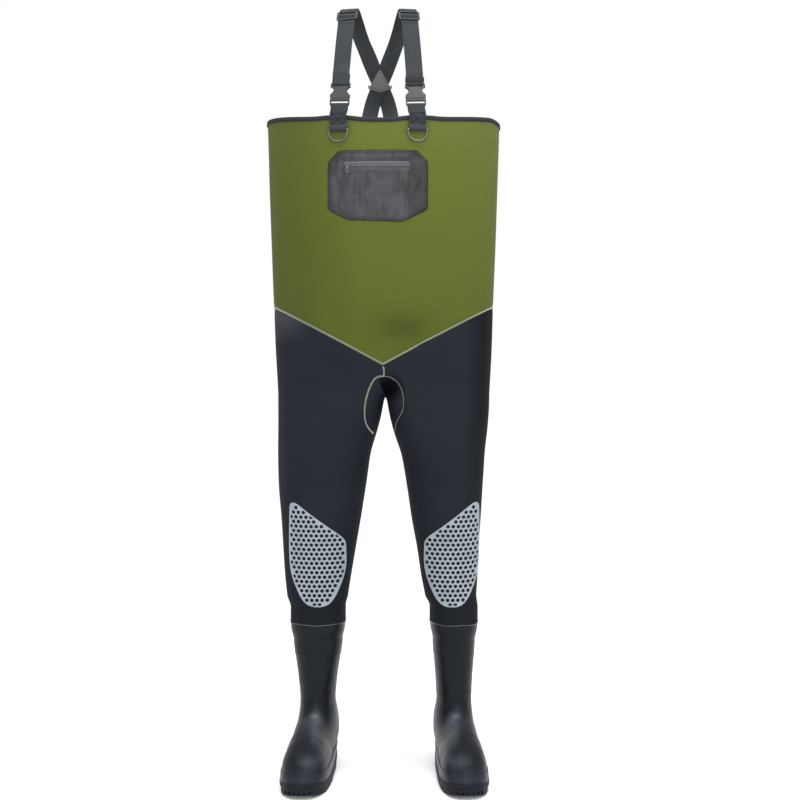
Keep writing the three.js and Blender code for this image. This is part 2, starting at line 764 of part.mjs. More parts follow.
// A printed pad bonded on the front of a leg
function kneePad(skin, side) {
  const corners = padCorners.map(({ across, up, round }) => [
    padCentreX[side] + (sideOf[side] * across * padWidth[side]) / 2,
    padCentreHeight + (up * padHeight) / 2,
    round,
  ]);
  const behindLeg = -chestHalfDepth * 0.03;
  return skin
    .wall(gap + kneePadThickness, gap)
    .intersect(frontPrism(roundedOutline(corners, 3), -farAcross, behindLeg));
}

// Rim binding: a channel folded over the bib's edge

function bindingPiece(bib) {
  const normals = bib.normals();
  const outer = gap + bindingThickness;
  const inner = -neopreneWall - gap - bindingThickness;
  const profile = [
    [outer, -bindingDepth],
    [gap, -bindingDepth],
    [gap, gap],
    [-neopreneWall - gap, gap],
    [-neopreneWall - gap, -bindingDepth],
    [inner, -bindingDepth],
    [inner, outer],
    [outer, outer],
  ];
  const skin = new Skin();
  const rings = torsoTurns.map((_, k) => {
    const rim = bib.points[k];
    const below = bib.points[k + torsoColumns];
    const down = vector(0, 0, 0).subVectors(below, rim).divideScalar(rim.z - below.z);
    const normal = normals[k].clone().setZ(0).normalize();
    return profile.map(([off, up]) => {
      const edge = rim.clone().addScaledVector(normal, off);
      return skin.add(up < 0 ? edge.addScaledVector(down, -up) : edge.setZ(rim.z + up));
    });
  });
  rings.forEach((ring, k) => skin.band(ring, rings[(k + 1) % torsoColumns], true));
  return closed(skin.points, skin.faces);
}

// Chest pocket and its zip

const pocketTopHeight = rimHeight - pocketDrop;
const zipHeight = pocketTopHeight - zipDrop;
const zipLeft = chestShift - pocketWidth * 0.335;
const sliderLength = 11;
const sliderX = zipLeft + sliderLength / 2 + gap * 3;

function pocketOutline() {
  const half = pocketWidth / 2;
  const bottom = pocketTopHeight - pocketHeight;
  const cut = pocketCorner * 0.86;
  return [
    [chestShift - half + pocketCorner * 1.6, bottom + 4],
    [chestShift + half - pocketCorner * 2, bottom],
    [chestShift + half, bottom + pocketCorner],
    [chestShift + half, pocketTopHeight - cut],
    [chestShift + half - cut, pocketTopHeight],
    [chestShift - half + cut, pocketTopHeight],
    [chestShift - half, pocketTopHeight - cut],
    [chestShift - half, bottom + pocketCorner],
  ];
}

function pocketPieces(bib) {
  const front = (outline) => frontPrism(outline, -farAcross, 0);
  const strip = (grow) => {
    const [left, right] = [zipLeft - grow, zipLeft + zipLength + grow];
    const [low, high] = [zipHeight - zipWidth / 2 - grow, zipHeight + zipWidth / 2 + grow];
    return front([
      [left, low],
      [right, low],
      [right, high],
      [left, high],
    ]);
  };
  return {
    pocket: bib.wall(gap + pocketThickness, gap).intersect(front(pocketOutline())).subtract(strip(gap)),
    zip: bib.wall(gap + zipThickness, gap).intersect(strip(0)),
  };
}

// Frames: a place with its directions across, along and away from the body

function matrixOf({ position, across, along, away }, a = 0, b = 0) {
  const matrix = new THREE.Matrix4().makeBasis(across, along, away);
  return matrix.setPosition(position.clone().addScaledVector(along, a).addScaledVector(away, b));
}

// Finds the upright plane that a flat band of some width takes on the front or back of the bib
function seatFinder(bib) {
  const target = new THREE.Mesh(geometryOf(bib.wall(0, -neopreneWall)), material(0xffffff));
  const caster = new THREE.Raycaster();
  const outwardOf = { front: -1, back: 1 };
  return (x, z, face, width) => {
    const outward = outwardOf[face];
    const depthAt = (place) => {
      caster.set(vector(place, outward * farAbove, z), vector(0, -outward, 0));
      return caster.intersectObject(target)[0].point.y;
    };
    const left = depthAt(x - width / 2);
    const slope = (depthAt(x + width / 2) - left) / width;
    const away = vector(-outward * slope, outward, 0).normalize();
    const steps = 12;
    let lift = 0;
    for (let i = 0; i <= steps; i += 1) {
      const reach = (i / steps) * width;
      lift = Math.max(lift, (depthAt(x - width / 2 + reach) - left - slope * reach) * away.y);
    }
    const position = vector(x, left + (slope * width) / 2, z).addScaledVector(away, lift);
    const along = vector(0, 0, -outward);
    return { position, along, away, across: vector(0, 0, 0).crossVectors(along, away) };
  };
}

// Braces

function strapPoints(side, seat) {
  const sign = sideOf[side];
  const underRim = 2;
  const frontX = chestShift + sign * strapHalfSpacing;
  const frontSeat = (drop) => seat(frontX, frontRimHeight - Math.max(drop, underRim), 'front', webWidth);
  const backSeat = (drop) => {
    const x = chestShift - sign * (0.46 * strapHalfSpacing + drop * 0.2);
    return seat(x, backRimHeight - Math.max(drop, underRim), 'back', webWidth);
  };
  const front = [ringDrop + 14, ringDrop, ringDrop / 2, 0].map((drop) => {
    return frontSeat(drop).position.setZ(frontRimHeight - drop);
  });
  const over = braceLine.map(({ across, depth, rise }) =>
    vector(chestShift + sign * across * strapHalfSpacing, depth * chestHalfDepth, frontRimHeight + rise * strapRise),
  );
  const back = [0, backTabLength / 2, backTabLength].map((drop) => {
    return backSeat(drop).position.setZ(backRimHeight - drop);
  });
  return { points: [...front, ...over, ...back], frontAway: frontSeat(0).away, backAway: backSeat(0).away };
}

// The line that one strap follows, measured from below the ring at the front to its end on the back
class Track {
  constructor(side, seat) {
    const { points, frontAway, backAway } = strapPoints(side, seat);
    this.frontAway = frontAway;
    this.backAway = backAway;
    this.curve = new THREE.CatmullRomCurve3(points, false, 'centripetal');
    this.curve.arcLengthDivisions = 800;
    this.length = this.curve.getLength();
    this.ring = this.reach((p) => p.z >= frontRimHeight - ringDrop);
    this.rim = this.reach((p) => p.z >= frontRimHeight);
    this.lowBar = this.rim + buckleRise + barThickness / 2;
    this.highBar = this.lowBar + buckleHeight - barThickness;
    this.slider = this.reach((p) => p.z >= frontRimHeight + strapRise * sliderHeightShare);
    this.cross = this.reach((p) => p.y > 0 && sideOf[side] * (p.x - chestShift) <= 0);
    this.backRim = this.length - backTabLength;
  }

  // The distance at which the line first passes a test
  reach(test) {
    const step = 0.5;
    let distance = 0;
    while (!test(this.curve.getPointAt(distance / this.length))) distance += step;
    return distance;
  }

  at(distance) {
    const share = Math.min(1, Math.max(0, distance / this.length));
    const along = this.curve.getTangentAt(share);
    const away =
      share < crest
        ? this.frontAway.clone().lerp(vector(0, 0, 1), smooth((share - turnStart) / (crest - turnStart)))
        : vector(0, 0, 1).lerp(this.backAway, smooth((share - crest) / crest));
    const across = vector(0, 0, 0).crossVectors(along, away).normalize();
    away.crossVectors(across, along).normalize();
    return { position: this.curve.getPointAt(share), along, across, away };
  }
}

const onTrack = (track, distance, off) => {
  const { position, across, away } = track.at(distance);
  return { point: position.addScaledVector(away, off), across };
};

const onFrame = (frame, a, b) => ({
  point: frame.position.clone().addScaledVector(frame.along, a).addScaledVector(frame.away, b),
  across: frame.across,
});

// Half a turn of webbing round a bar, from one side of it (-1 behind, 1 in front) over its upper or lower edge
function roundBar(frame, a, b, radius, from, upward) {
  const steps = 6;
  return Array.from({ length: steps + 1 }, (_, i) => {
    const turn = (i / steps) * Math.PI;
    return onFrame(frame, a + (upward ? 1 : -1) * radius * Math.sin(turn), b + from * radius * Math.cos(turn));
  });
}

// Webbing through a row of places
function ribbon(path) {
  const skin = new Skin();
  const rings = path.map(({ point, across }, i) => {
    const before = path[Math.max(0, i - 1)].point;
    const after = path[Math.min(path.length - 1, i + 1)].point;
    const along = vector(0, 0, 0).subVectors(after, before).normalize();
    const normal = vector(0, 0, 0).crossVectors(across, along).normalize();
    const side = vector(0, 0, 0).crossVectors(along, normal).normalize();
    const corner = (a, b) =>
      skin.add(
        point
          .clone()
          .addScaledVector(side, (a * webWidth) / 2)
          .addScaledVector(normal, (b * webThickness) / 2),
      );
    return [corner(-1, -1), corner(1, -1), corner(1, 1), corner(-1, 1)];
  });
  // The two broad faces are split along the same diagonal
  for (let i = 0; i + 1 < rings.length; i += 1) {
    const [a, b] = [rings[i], rings[i + 1]];
    skin.faces.push([b[0], b[1], a[1], a[0]], [b[1], b[2], a[2], a[1]]);
    skin.faces.push([b[3], a[3], a[2], b[2]], [b[3], b[0], a[0], a[3]]);
  }
  skin.faces.push(rings[0]);
  skin.faces.push([...rings[rings.length - 1]].reverse());
  return closed(skin.points, skin.faces);
}

const webLayer = webThickness + gap;
const lowOffset = gap + webThickness / 2;
const overBinding = gap * 3 + bindingThickness + webThickness / 2;
const ringLoop = ringWire + gap + webThickness / 2;
const barLoop = barThickness * Math.SQRT1_2 + gap + webThickness / 2;
const lineOffset = overBinding + webLayer;
const layerOffset = webLayer / 2 + gap * 2;
const buckleOffset = lineOffset + webLayer - barLoop;

const buckleFrame = (track) => track.at((track.lowBar + track.highBar) / 2);
const barReach = (buckleHeight - barThickness) / 2;

// Doubled webbing that holds the ring on the bib and the buckle's plug above the rim
function frontTab(track) {
  const ring = track.at(track.ring);
  const buckle = buckleFrame(track);
  const low = -barReach;
  return ribbon([
    onTrack(track, track.rim - bindingDepth - 3, lowOffset),
    onFrame(ring, 3, lowOffset),
    ...roundBar(ring, 0, lowOffset + ringLoop, ringLoop, -1, false),
    onFrame(ring, 4, lowOffset + ringLoop * 2),
    onFrame(ring, 11, lowOffset + webLayer + gap),
    onTrack(track, track.rim - bindingDepth - 2, lowOffset + webLayer + gap),
    onTrack(track, track.rim - bindingDepth + 3, lineOffset),
    onTrack(track, track.rim + 3, lineOffset),
    onFrame(buckle, low - 9, buckleOffset + barLoop * 0.9),
    onFrame(buckle, low - 3, buckleOffset + barLoop),
    ...roundBar(buckle, low, buckleOffset, barLoop, 1, true),
    onFrame(buckle, low - 3, buckleOffset - barLoop),
    onFrame(buckle, low - 9, buckleOffset - barLoop * 0.9),
    onTrack(track, track.rim + 4, lineOffset - webLayer),
  ]);
}

// One long strap from the buckle's socket over the shoulder, through its slider and across the back
function longStrap(track, crossFrame, layer) {
  const buckle = buckleFrame(track);
  const slider = track.at(track.slider);
  const tail = 22;
  const path = [
    onFrame(buckle, barReach + tail, buckleOffset - barLoop),
    ...roundBar(buckle, barReach, buckleOffset, barLoop, -1, false),
    onFrame(buckle, barReach + tail, buckleOffset + barLoop),
  ];
  // Over the middle bar of the slider and under its outer bars
  const reach = (sliderHeight - barThickness) / 2;
  const weaveEnds = 1.5;
  const before = track.slider - reach * (weaveEnds + 0.4);
  const from = track.highBar + tail + 20;
  const risers = 4;
  for (let i = 0; i <= risers; i += 1) path.push(onTrack(track, mix(from, before, i / risers), lineOffset));
  const weaveSteps = 12;
  for (let i = 0; i <= weaveSteps; i += 1) {
    const place = mix(-weaveEnds, weaveEnds, i / weaveSteps);
    path.push(onFrame(slider, place * reach, lineOffset + barLoop * Math.cos(place * Math.PI)));
  }
  // Flat over the patch, the right strap outside the left
  const patchReach = patchHeight * 0.62;
  const middle = track.cross - patchRise;
  const within = (distance, reach, fade) => 1 - smooth((Math.abs(distance - middle) - reach) / fade);
  const settled = (distance) => {
    const { position, along, away } = track.at(distance);
    const flat = within(distance, patchReach, patchHeight * 1.5);
    const apart = within(distance, patchHeight * 1.25, patchHeight);
    position.addScaledVector(away, lineOffset);
    const height = position.clone().sub(crossFrame.position).dot(crossFrame.away);
    position.addScaledVector(crossFrame.away, -height * flat);
    away.lerp(crossFrame.away, flat).normalize();
    position.addScaledVector(away, layer * layerOffset * apart);
    return { point: position, across: vector(0, 0, 0).crossVectors(along, away).normalize() };
  };
  const after = track.slider + reach * (weaveEnds + 0.4);
  const last = track.backRim - 14;
  const strides = 18;
  for (let i = 0; i <= strides; i += 1) path.push(settled(mix(after, last, i / strides)));
  path.push(onTrack(track, track.backRim - 3, overBinding));
  path.push(onTrack(track, track.backRim + bindingDepth + 2, overBinding));
  path.push(onTrack(track, track.backRim + bindingDepth + 7, lowOffset));
  path.push(onTrack(track, track.length - 1, lowOffset));
  return ribbon(path);
}

// Buckles and sliders, each in x across, y along the strap and z away

const socketWidth = 27;
const socketThickness = 4.4;
const plugHeight = 15;
const slotHeight = 2 * webLayer + 2.4;
const slotWidth = webWidth + 2 * gap;

function webSlot(low, thickness) {
  return block(slotWidth, slotHeight, thickness, 0, low + slotHeight / 2, 0);
}

// Socket half of a side-release buckle: waisted sides, a mouth below and a bar above
function buckleSocket() {
  const w = buckleWidth / 2;
  const low = plugHeight + gap - buckleHeight / 2;
  const high = buckleHeight / 2;
  const body = high - low;
  const outline = mirroredOutline([
    [w * 0.86, low],
    [w, low + body * 0.06],
    [w, low + body * 0.22],
    [w * 0.72, low + body * 0.4],
    [w * 0.66, low + body * 0.54],
    [w * 0.84, low + body * 0.68],
    [w, low + body * 0.72],
    [w, high - body * 0.05],
    [w * 0.95, high],
  ]);
  const slotLow = high - barThickness - slotHeight;
  const mouth = block(socketWidth, body * 1.12, socketThickness, 0, low, 0);
  const thinning = [-1, 1].map((sign) =>
    block(w * 3, body * 0.5, buckleThickness, 0, high, (sign * (buckleThickness + barThickness)) / 2),
  );
  return [webSlot(slotLow, buckleThickness * 2), mouth, ...thinning].reduce(
    (piece, cut) => piece.subtract(cut),
    plate(outline, buckleThickness, 1),
  );
}

// Plug half: a framed bar below, a shoulder and a tongue that reaches into the socket
function bucklePlug() {
  const w = buckleWidth / 2;
  const low = -buckleHeight / 2;
  const high = low + plugHeight;
  const shoulderHeight = 4;
  const tongueLength = 15;
  const frame = plate(
    mirroredOutline([
      [w * 0.95, low],
      [w, low + 1.5],
      [w, high - 1],
      [w * 0.95, high],
    ]),
    barThickness,
  );
  const shoulder = block(w * 1.94, shoulderHeight, buckleThickness - 2, 0, high - shoulderHeight / 2, 0);
  const tongue = block(
    socketWidth - 2 * gap,
    tongueLength + shoulderHeight / 2,
    socketThickness - 2 * gap,
    0,
    high + (tongueLength - shoulderHeight / 2) / 2,
    0,
  );
  return frame.subtract(webSlot(low + barThickness, buckleThickness * 2)).add(shoulder).add(tongue);
}

function sliderFrame() {
  const w = buckleWidth / 2 + 1;
  const h = sliderHeight / 2;
  const corner = 3;
  const outline = mirroredOutline([
    [w - corner, -h],
    [w, -h + corner],
    [w, h - corner],
    [w - corner, h],
  ]);
  const windowHeight = (sliderHeight - barThickness * 3) / 2;
  const windows = [-1, 1].map((sign) =>
    block(slotWidth, windowHeight, barThickness * 3, 0, (sign * (barThickness + windowHeight)) / 2, 0),
  );
  return windows.reduce((piece, cut) => piece.subtract(cut), plate(outline, barThickness));
}

// A ring with a straight bar on top and a bow below it
function dRing() {
  const half = webWidth / 2 + gap * 2 + ringWire;
  const steps = 12;
  const sides = 6;
  const bow = Array.from({ length: steps + 1 }, (_, i) => {
    const turn = (i / steps) * Math.PI;
    return vector(half * Math.cos(turn), -ringHeight * Math.sin(turn) ** 0.8, 0);
  });
  const path = [...bow, vector(-half * 0.33, 0, 0), vector(half * 0.33, 0, 0)];
  const skin = new Skin();
  const rings = path.map((point, i) => {
    const before = path[(i + path.length - 1) % path.length];
    const after = path[(i + 1) % path.length];
    const along = vector(0, 0, 0).subVectors(after, before).normalize();
    const out = vector(0, 0, 1);
    const side = vector(0, 0, 0).crossVectors(along, out).normalize();
    return Array.from({ length: sides }, (_, k) => {
      const turn = (k / sides) * Math.PI * 2;
      return skin.add(
        point
          .clone()
          .addScaledVector(out, ringWire * Math.cos(turn))
          .addScaledVector(side, ringWire * Math.sin(turn)),
      );
    });
  });
  rings.forEach((ring, i) => skin.band(ring, rings[(i + 1) % rings.length]));
  return closed(skin.points, skin.faces);
}

// Rounded triangle, point up
function patchPlate() {
  const w = patchWidth / 2;
  const h = patchHeight / 2;
  const corners = [
    [w * 1.02, -h * 0.68, 0.16],
    [w * 0.12, h * 1.04, 0.08],
    [-w * 0.12, h * 1.04, 0.08],
    [-w * 1.02, -h * 0.68, 0.16],
    [0, -h * 1.1, 0.4],
  ];
  return plate(roundedOutline(corners, 4), patchThickness);
}

// Zip slider and pull, about the slider's middle and the pull's pin

const sliderBody = { height: 7.6, thickness: 3 };
const sliderLug = { width: 2, height: 4, reach: 4.6 };
const pinRadius = 0.7;
const pinReach = sliderBody.thickness / 2 + sliderLug.reach * 0.62;

function zipSlider() {
  const { width, height, reach } = sliderLug;
  const body = block(sliderLength, sliderBody.height, sliderBody.thickness, 0, 0, 0);
  const bite = 0.1;
  const lug = block(width, height, reach + bite, 0, 0, (sliderBody.thickness + reach - bite) / 2);
  return body.add(lug).subtract(rod(pinRadius + gap, width * 3, 0, pinReach));
}

function zipPull() {
  const w = pullWidth / 2;
  const top = 1.6;
  const outline = mirroredOutline([
    [w * 0.8, -pullLength],
    [w, -pullLength + 1.5],
    [w, top],
  ]);
  const forkDepth = 5;
  const fork = block(sliderLug.width + 2 * gap, top * 2 + forkDepth, pullThickness * 4, 0, (top - forkDepth) / 2, 0);
  const eye = block(sliderLug.width + 1, 6, pullThickness * 4, 0, -pullLength + 5, 0);
  return plate(outline, pullThickness).subtract(fork).subtract(eye).add(rod(pinRadius, pullWidth * 0.8, 0, 0));
}

// The waders

const waders = new THREE.Group();

function place(name, manifold, finish) {
  const mesh = new THREE.Mesh(geometryOf(manifold), finish);
  mesh.name = name;
  waders.add(mesh);
}

const bib = bibSkin();
place('bib', bib.wall(0, -neopreneWall), material(colours.neopreneGreen, 0.8));
place('rim_binding', bindingPiece(bib), material(colours.binding, 0.7));

const trousers = trouserSkin();
const panels = trouserPieces(trousers);
place('leg_right', panels.right, material(colours.neopreneBlack, 0.75));
place('leg_left', panels.left, material(colours.neopreneBlack, 0.75));
place('gusset', panels.gusset, material(colours.neopreneBlack, 0.75));

const { pocket, zip } = pocketPieces(bib);
place('pocket', pocket, material(colours.pocket, 0.5));
place('zip_tape', zip, material(colours.plastic, 0.5));

const seat = seatFinder(bib);
const zipSeat = seat(sliderX, zipHeight, 'front', sliderLength);
const sliderOff = gap * 3 + zipThickness + sliderBody.thickness / 2;
place('zip_slider', placed(zipSlider(), matrixOf(zipSeat, 0, sliderOff)), material(colours.metal, 0.4, 0.8));
place('zip_pull', placed(zipPull(), matrixOf(zipSeat, 0, sliderOff + pinReach)), material(colours.metal, 0.4, 0.8));

const tracks = { right: new Track('right', seat), left: new Track('left', seat) };

// The plane that both straps share over the patch, square to the middle
const crossFrame = tracks.right.at(tracks.right.cross - patchRise);
crossFrame.position.addScaledVector(crossFrame.away, lineOffset);
crossFrame.away.setX(0).normalize();
crossFrame.along = vector(0, crossFrame.away.z, -crossFrame.away.y).negate();
crossFrame.across = vector(0, 0, 0).crossVectors(crossFrame.along, crossFrame.away);
crossFrame.position.setX(chestShift);

for (const side of ['right', 'left']) {
  const track = tracks[side];
  const ring = matrixOf(track.at(track.ring), 0, lowOffset + ringLoop);
  const buckle = matrixOf(buckleFrame(track), 0, buckleOffset);
  const outside = side === 'right' ? 1 : -1;
  place(`knee_pad_${side}`, kneePad(trousers, side), material(colours.print, 0.6));
  place(`front_tab_${side}`, frontTab(track), material(colours.web, 0.85));
  place(`strap_${side}`, longStrap(track, crossFrame, outside), material(colours.web, 0.85));
  place(`buckle_socket_${side}`, placed(buckleSocket(), buckle), material(colours.plastic, 0.4));
  place(`buckle_plug_${side}`, placed(bucklePlug(), buckle), material(colours.plastic, 0.4));
  place(`strap_slider_${side}`, placed(sliderFrame(), matrixOf(track.at(track.slider), 0, lineOffset)), material(colours.plastic, 0.4));
  place(`d_ring_${side}`, placed(dRing(), ring), material(colours.metal, 0.35, 0.9));
}

const patchOff = layerOffset + webThickness / 2 + gap + patchThickness / 2;
place('back_patch', placed(patchPlate(), matrixOf(crossFrame, 0, -patchOff)), material(colours.plastic, 0.55));

for (const side of ['right', 'left']) {
  const boot = bootPieces(side);
  place(`boot_upper_${side}`, boot.upper, material(colours.rubber, 0.5));
  place(`outsole_${side}`, boot.outsole, material(colours.tread, 0.7));
  place(`insole_${side}`, boot.insole, material(colours.insole, 0.9));
}

// Centres the whole over its base
const bounds = new THREE.Box3().setFromObject(waders);
const centre = bounds.getCenter(vector(0, 0, 0));
waders.position.set(-centre.x, -centre.y, -bounds.min.z);

export default waders;
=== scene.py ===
"""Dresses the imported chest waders: skins, seams, stitching, print, webbing, fittings, floor and light."""

import math

import bpy
import numpy as np
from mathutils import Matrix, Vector
from mathutils.bvhtree import BVHTree
from mathutils.geometry import delaunay_2d_cdt

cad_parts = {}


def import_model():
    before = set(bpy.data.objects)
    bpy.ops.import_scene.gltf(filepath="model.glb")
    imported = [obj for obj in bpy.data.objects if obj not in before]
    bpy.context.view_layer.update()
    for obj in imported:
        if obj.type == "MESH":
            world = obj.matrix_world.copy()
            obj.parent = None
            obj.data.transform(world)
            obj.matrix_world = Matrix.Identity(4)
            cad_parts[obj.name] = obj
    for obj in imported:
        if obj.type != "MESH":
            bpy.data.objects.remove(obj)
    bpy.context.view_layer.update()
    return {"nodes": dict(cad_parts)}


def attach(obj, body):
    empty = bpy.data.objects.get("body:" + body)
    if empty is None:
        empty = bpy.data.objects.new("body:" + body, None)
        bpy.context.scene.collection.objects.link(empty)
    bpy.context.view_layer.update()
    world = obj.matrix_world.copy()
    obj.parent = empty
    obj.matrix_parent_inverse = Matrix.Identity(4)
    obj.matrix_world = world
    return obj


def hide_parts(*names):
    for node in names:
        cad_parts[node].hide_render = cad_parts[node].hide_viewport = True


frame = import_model()
scene = bpy.context.scene

# Camera: level, at the height and side offset that the photograph gives, in metres
CAMERA_PLACE = (0.036, -2.57, 0.808)
SENSOR_MM, LENS_MM = 36, 53.19
camera = bpy.data.objects.new("camera", bpy.data.cameras.new("camera"))
scene.collection.objects.link(camera)
camera.location = CAMERA_PLACE
camera.rotation_euler = (math.pi / 2, 0, 0)
camera.data.sensor_width = SENSOR_MM
camera.data.lens = LENS_MM
scene.camera = camera

# Sizes of the part, in millimetres about the line of the ankles
GAP = 0.3
NEOPRENE = 5.0
RIM_HEIGHT, RIM_FRONT_DROP, RIM_BACK_DROP, RIM_PULL, RIM_CORNER_DROP = 1412, 21, 8, 6, 5
SEAM_SIDE, SEAM_FRONT, SEAM_BACK = 1010, 882, 905
CROTCH, CROTCH_SHIFT, FORK_RISE = 820, 4, 46
CHEST_HALF_WIDTH, CHEST_HALF_DEPTH, HIP_HALF_WIDTH, THIGH_HALF_DEPTH = 254, 150, 232, 122
HEM = 324
GUSSET = {"x": 2, "z": 794, "half_width": 41, "half_height": 64}
FORK_LIFT = 13
# The gusset's seam on the front, from its top down either side
GUSSET_LINE = {
    "right": [(2, 858), (-9, 857), (-20, 849), (-32, 823), (-39, 789), (-36, 757), (-17, 730), (0, 716)],
    "left": [(2, 858), (17, 855), (34, 841), (43, 813), (41, 785), (30, 764), (26, 743), (24, 724)],
}
BOOT_WALL = 2.8
SHAFT_TOP = 345
SHAFT_HALF_WIDTH = {"right": 54, "left": 46}
SHAFT_HALF_DEPTH = {"right": 62, "left": 68}
ANKLE_HALF_WIDTH, ANKLE_HALF_DEPTH = 38.5, 56
FOOT_LENGTH, HEEL_BACK, BALL_HALF_WIDTH, INSTEP = 300, 80, 51.5, 120
HEEL_SOLE, FORE_SOLE, TOE_SPRING, ARCH_LIFT = 28, 22, 10, 9
FOXING_HEIGHT, FOXING_PROUD, SOLE_PROUD, SOLE_STEP, TREAD_PROUD = 20, 1.4, 2.4, 9, 0.5
LUG_DEPTH, LUG_GROOVE, TOE_NOTCH = 6, 6, 3.4
COLLAR_LOW, COLLAR_PROUD = 289, 6
TOE_OUT = {"right": 7.5, "left": 6.5}
BOOT_X = {"right": -144, "left": 154}
PAD_WIDTH = {"right": 122, "left": 120}
PAD_X = {"right": -142, "left": 149}
PAD_HEIGHT, PAD_Z = 226, 479
POCKET_WIDTH, POCKET_HEIGHT, POCKET_TOP, POCKET_CORNER = 206, 147, 1325, 26
CHEST_SHIFT = -10
ZIP_LENGTH, ZIP_DROP = 134, 28
WEB_WIDTH, WEB_THICKNESS = 36, 1.6
STRAP_SPACING, STRAP_RISE, SLIDER_SHARE, TURN_START, CREST = 82, 249, 0.88, 0.28, 0.48
RING_WIRE, RING_HEIGHT, RING_DROP = 1.75, 24, 28
BUCKLE_HEIGHT, BUCKLE_RISE, BAR = 48, 22, 3
SLIDER_HEIGHT = 26
PATCH_WIDTH, PATCH_HEIGHT, PATCH_RISE, PATCH_THICKNESS = 50, 52, 11, 2
BACK_TAB = 42
BINDING_DEPTH, BINDING_THICKNESS = 6.5, 1.5
SIDES = ("right", "left")
SIGN = {"right": -1, "left": 1}
# How square the level sections are, where 2 is an ellipse
TORSO_SQUARE, LEG_SQUARE, SHAFT_SQUARE = 2.25, 2.1, 2.15
# Half the gap between bib and trousers at the waist seam, and a place outside everything, where rays start
SEAM_GAP, RAY_START = 0.35, 600
# The whole is centred over its base
SHIFT = np.array([0.085, 29.736, 0.0])

TORSO = np.array([
    # height, half width, front, back
    [-0.2, 0.9, 0.84, 0.96],
    [0, 0.912, 0.88, 1.01],
    [0.16, 0.93, 0.95, 1.04],
    [0.33, 0.945, 0.99, 1.0],
    [0.66, 0.975, 1.02, 0.98],
    [1, 1, 1, 1],
    [1.1, 1.01, 1, 1],
])
LEG = np.array([
    # height, right outer, right inner, left inner, left outer, front, back
    [0, 1.0, 0.06, 0.1, 1.0, 1.02, 1.12],
    [0.08, 0.998, 0.045, 0.085, 0.982, 0.98, 1.08],
    [0.16, 1.0, 0.07, 0.1, 0.972, 0.94, 1.02],
    [0.27, 1.0, 0.125, 0.17, 0.955, 0.88, 0.95],
    [0.41, 0.99, 0.17, 0.22, 0.936, 0.8, 0.84],
    [0.54, 0.967, 0.212, 0.262, 0.919, 0.745, 0.73],
    [0.67, 0.949, 0.258, 0.313, 0.899, 0.655, 0.69],
    [0.8, 0.932, 0.305, 0.355, 0.889, 0.585, 0.69],
    [0.88, 0.916, 0.333, 0.389, 0.879, 0.56, 0.66],
])
LEG_COLUMN = {"rightOuter": 1, "rightInner": 2, "leftInner": 3, "leftOuter": 4, "front": 5, "back": 6}
SHAFT = np.array([
    # height, spread, front, back
    [1, 1, 0.9, 1.1],
    [0.87, 0.98, 0.9, 1.1],
    [0.79, 0.9, 0.9, 1.1],
    [0.7, 0.58, 0.92, 1.08],
    [0.605, 0.25, 0.96, 1.04],
    [0.51, 0, 0.98, 1.02],
])
FOOT = [
    # top at, top z, bottom at, bottom z, half width, shift, equator, above, below
    (0.54, 1.3, 0.928, 1.24, 0.73, 0, 0, 2.1, 2.1),
    (0.515, 1.18, 0.945, 0.86, 0.79, 0.03, 0, 2.1, 2.8),
    (0.475, 1.08, 0.972, 0.5, 0.81, 0.02, 0.08, 2.2, 2.9),
    (0.422, 1.01, 0.985, 0.17, 0.8, -0.04, 0.1, 2.3, 2.5),
    (0.365, 0.94, 0.95, -0.22, 0.83, -0.07, 0, 2.5, 2.5),
    (0.305, 0.875, 0.8, -0.24, 0.905, -0.06, -0.2, 2.6, 2.9),
    (0.245, 0.81, 0.59, -0.24, 0.945, -0.04, -0.28, 2.6, 3.2),
    (0.185, 0.735, 0.39, -0.24, 0.96, -0.01, -0.3, 2.6, 3.2),
    (0.125, 0.64, 0.225, -0.24, 0.9, 0.02, -0.28, 2.5, 3),
    (0.07, 0.525, 0.115, -0.22, 0.74, 0.05, -0.2, 2.4, 2.7),
    (0.028, 0.39, 0.035, -0.17, 0.5, 0.07, -0.1, 2.2, 2.3),
]
TOE_TIP = (0, 0.14, 0.08)
SOLE_TOP = [
    # along, thickness, spring
    (-0.2, 1, 0), (0.2, 1, 0), (0.34, 0.75, 0), (0.5, 0.25, 0),
    (0.68, 0, 0.05), (0.84, 0, 0.3), (0.95, 0, 0.95), (1.15, 0, 2.4),
]
SOLE_BOTTOM = [
    # along, arch, spring
    (-0.2, 0.7, 0), (0.03, 0, 0), (0.29, 0, 0), (0.31, 1, 0), (0.48, 0.6, 0),
    (0.55, 0, 0), (0.8, 0, 0), (0.9, 0, 0.35), (1, 0, 1), (1.15, 0, 2.2),
]
# Grooves across the sole as shares of its length, and notches at the toe as shares of its half width
GROOVES = [0.09, 0.19, 0.6, 0.68, 0.76, 0.84]
NOTCHES = [-0.5, -0.3, -0.1, 0.1, 0.3, 0.5]
PAD_CORNERS = [
    (0.94, 1.06, 0.19), (-1.0, 0.28, 0.16), (-1.02, -0.36, 0.42),
    (-0.48, -1.02, 0.42), (0.42, -1.02, 0.42), (0.94, -0.42, 0.42), (1.0, 0.05, 0.42),
]
BRACE = [
    # across, depth, rise
    (0.956, -0.93, 0.145), (0.925, -0.9, 0.327), (0.875, -0.83, 0.562), (0.828, -0.76, 0.743),
    (0.799, -0.7, 0.852), (0.78, -0.62, 0.917), (0.755, -0.48, 0.969), (0.716, -0.3, 0.989),
    (0.651, -0.1, 0.955), (0.537, 0.13, 0.865), (0.393, 0.36, 0.768), (0.195, 0.6, 0.647),
    (-0.032, 0.8, 0.512), (-0.221, 0.94, 0.363), (-0.378, 1.02, 0.151),
]


def mix(a, b, t):
    return a + (b - a) * t


def smooth(t):
    t = np.clip(t, 0.0, 1.0)
    return t * t * (3 - 2 * t)


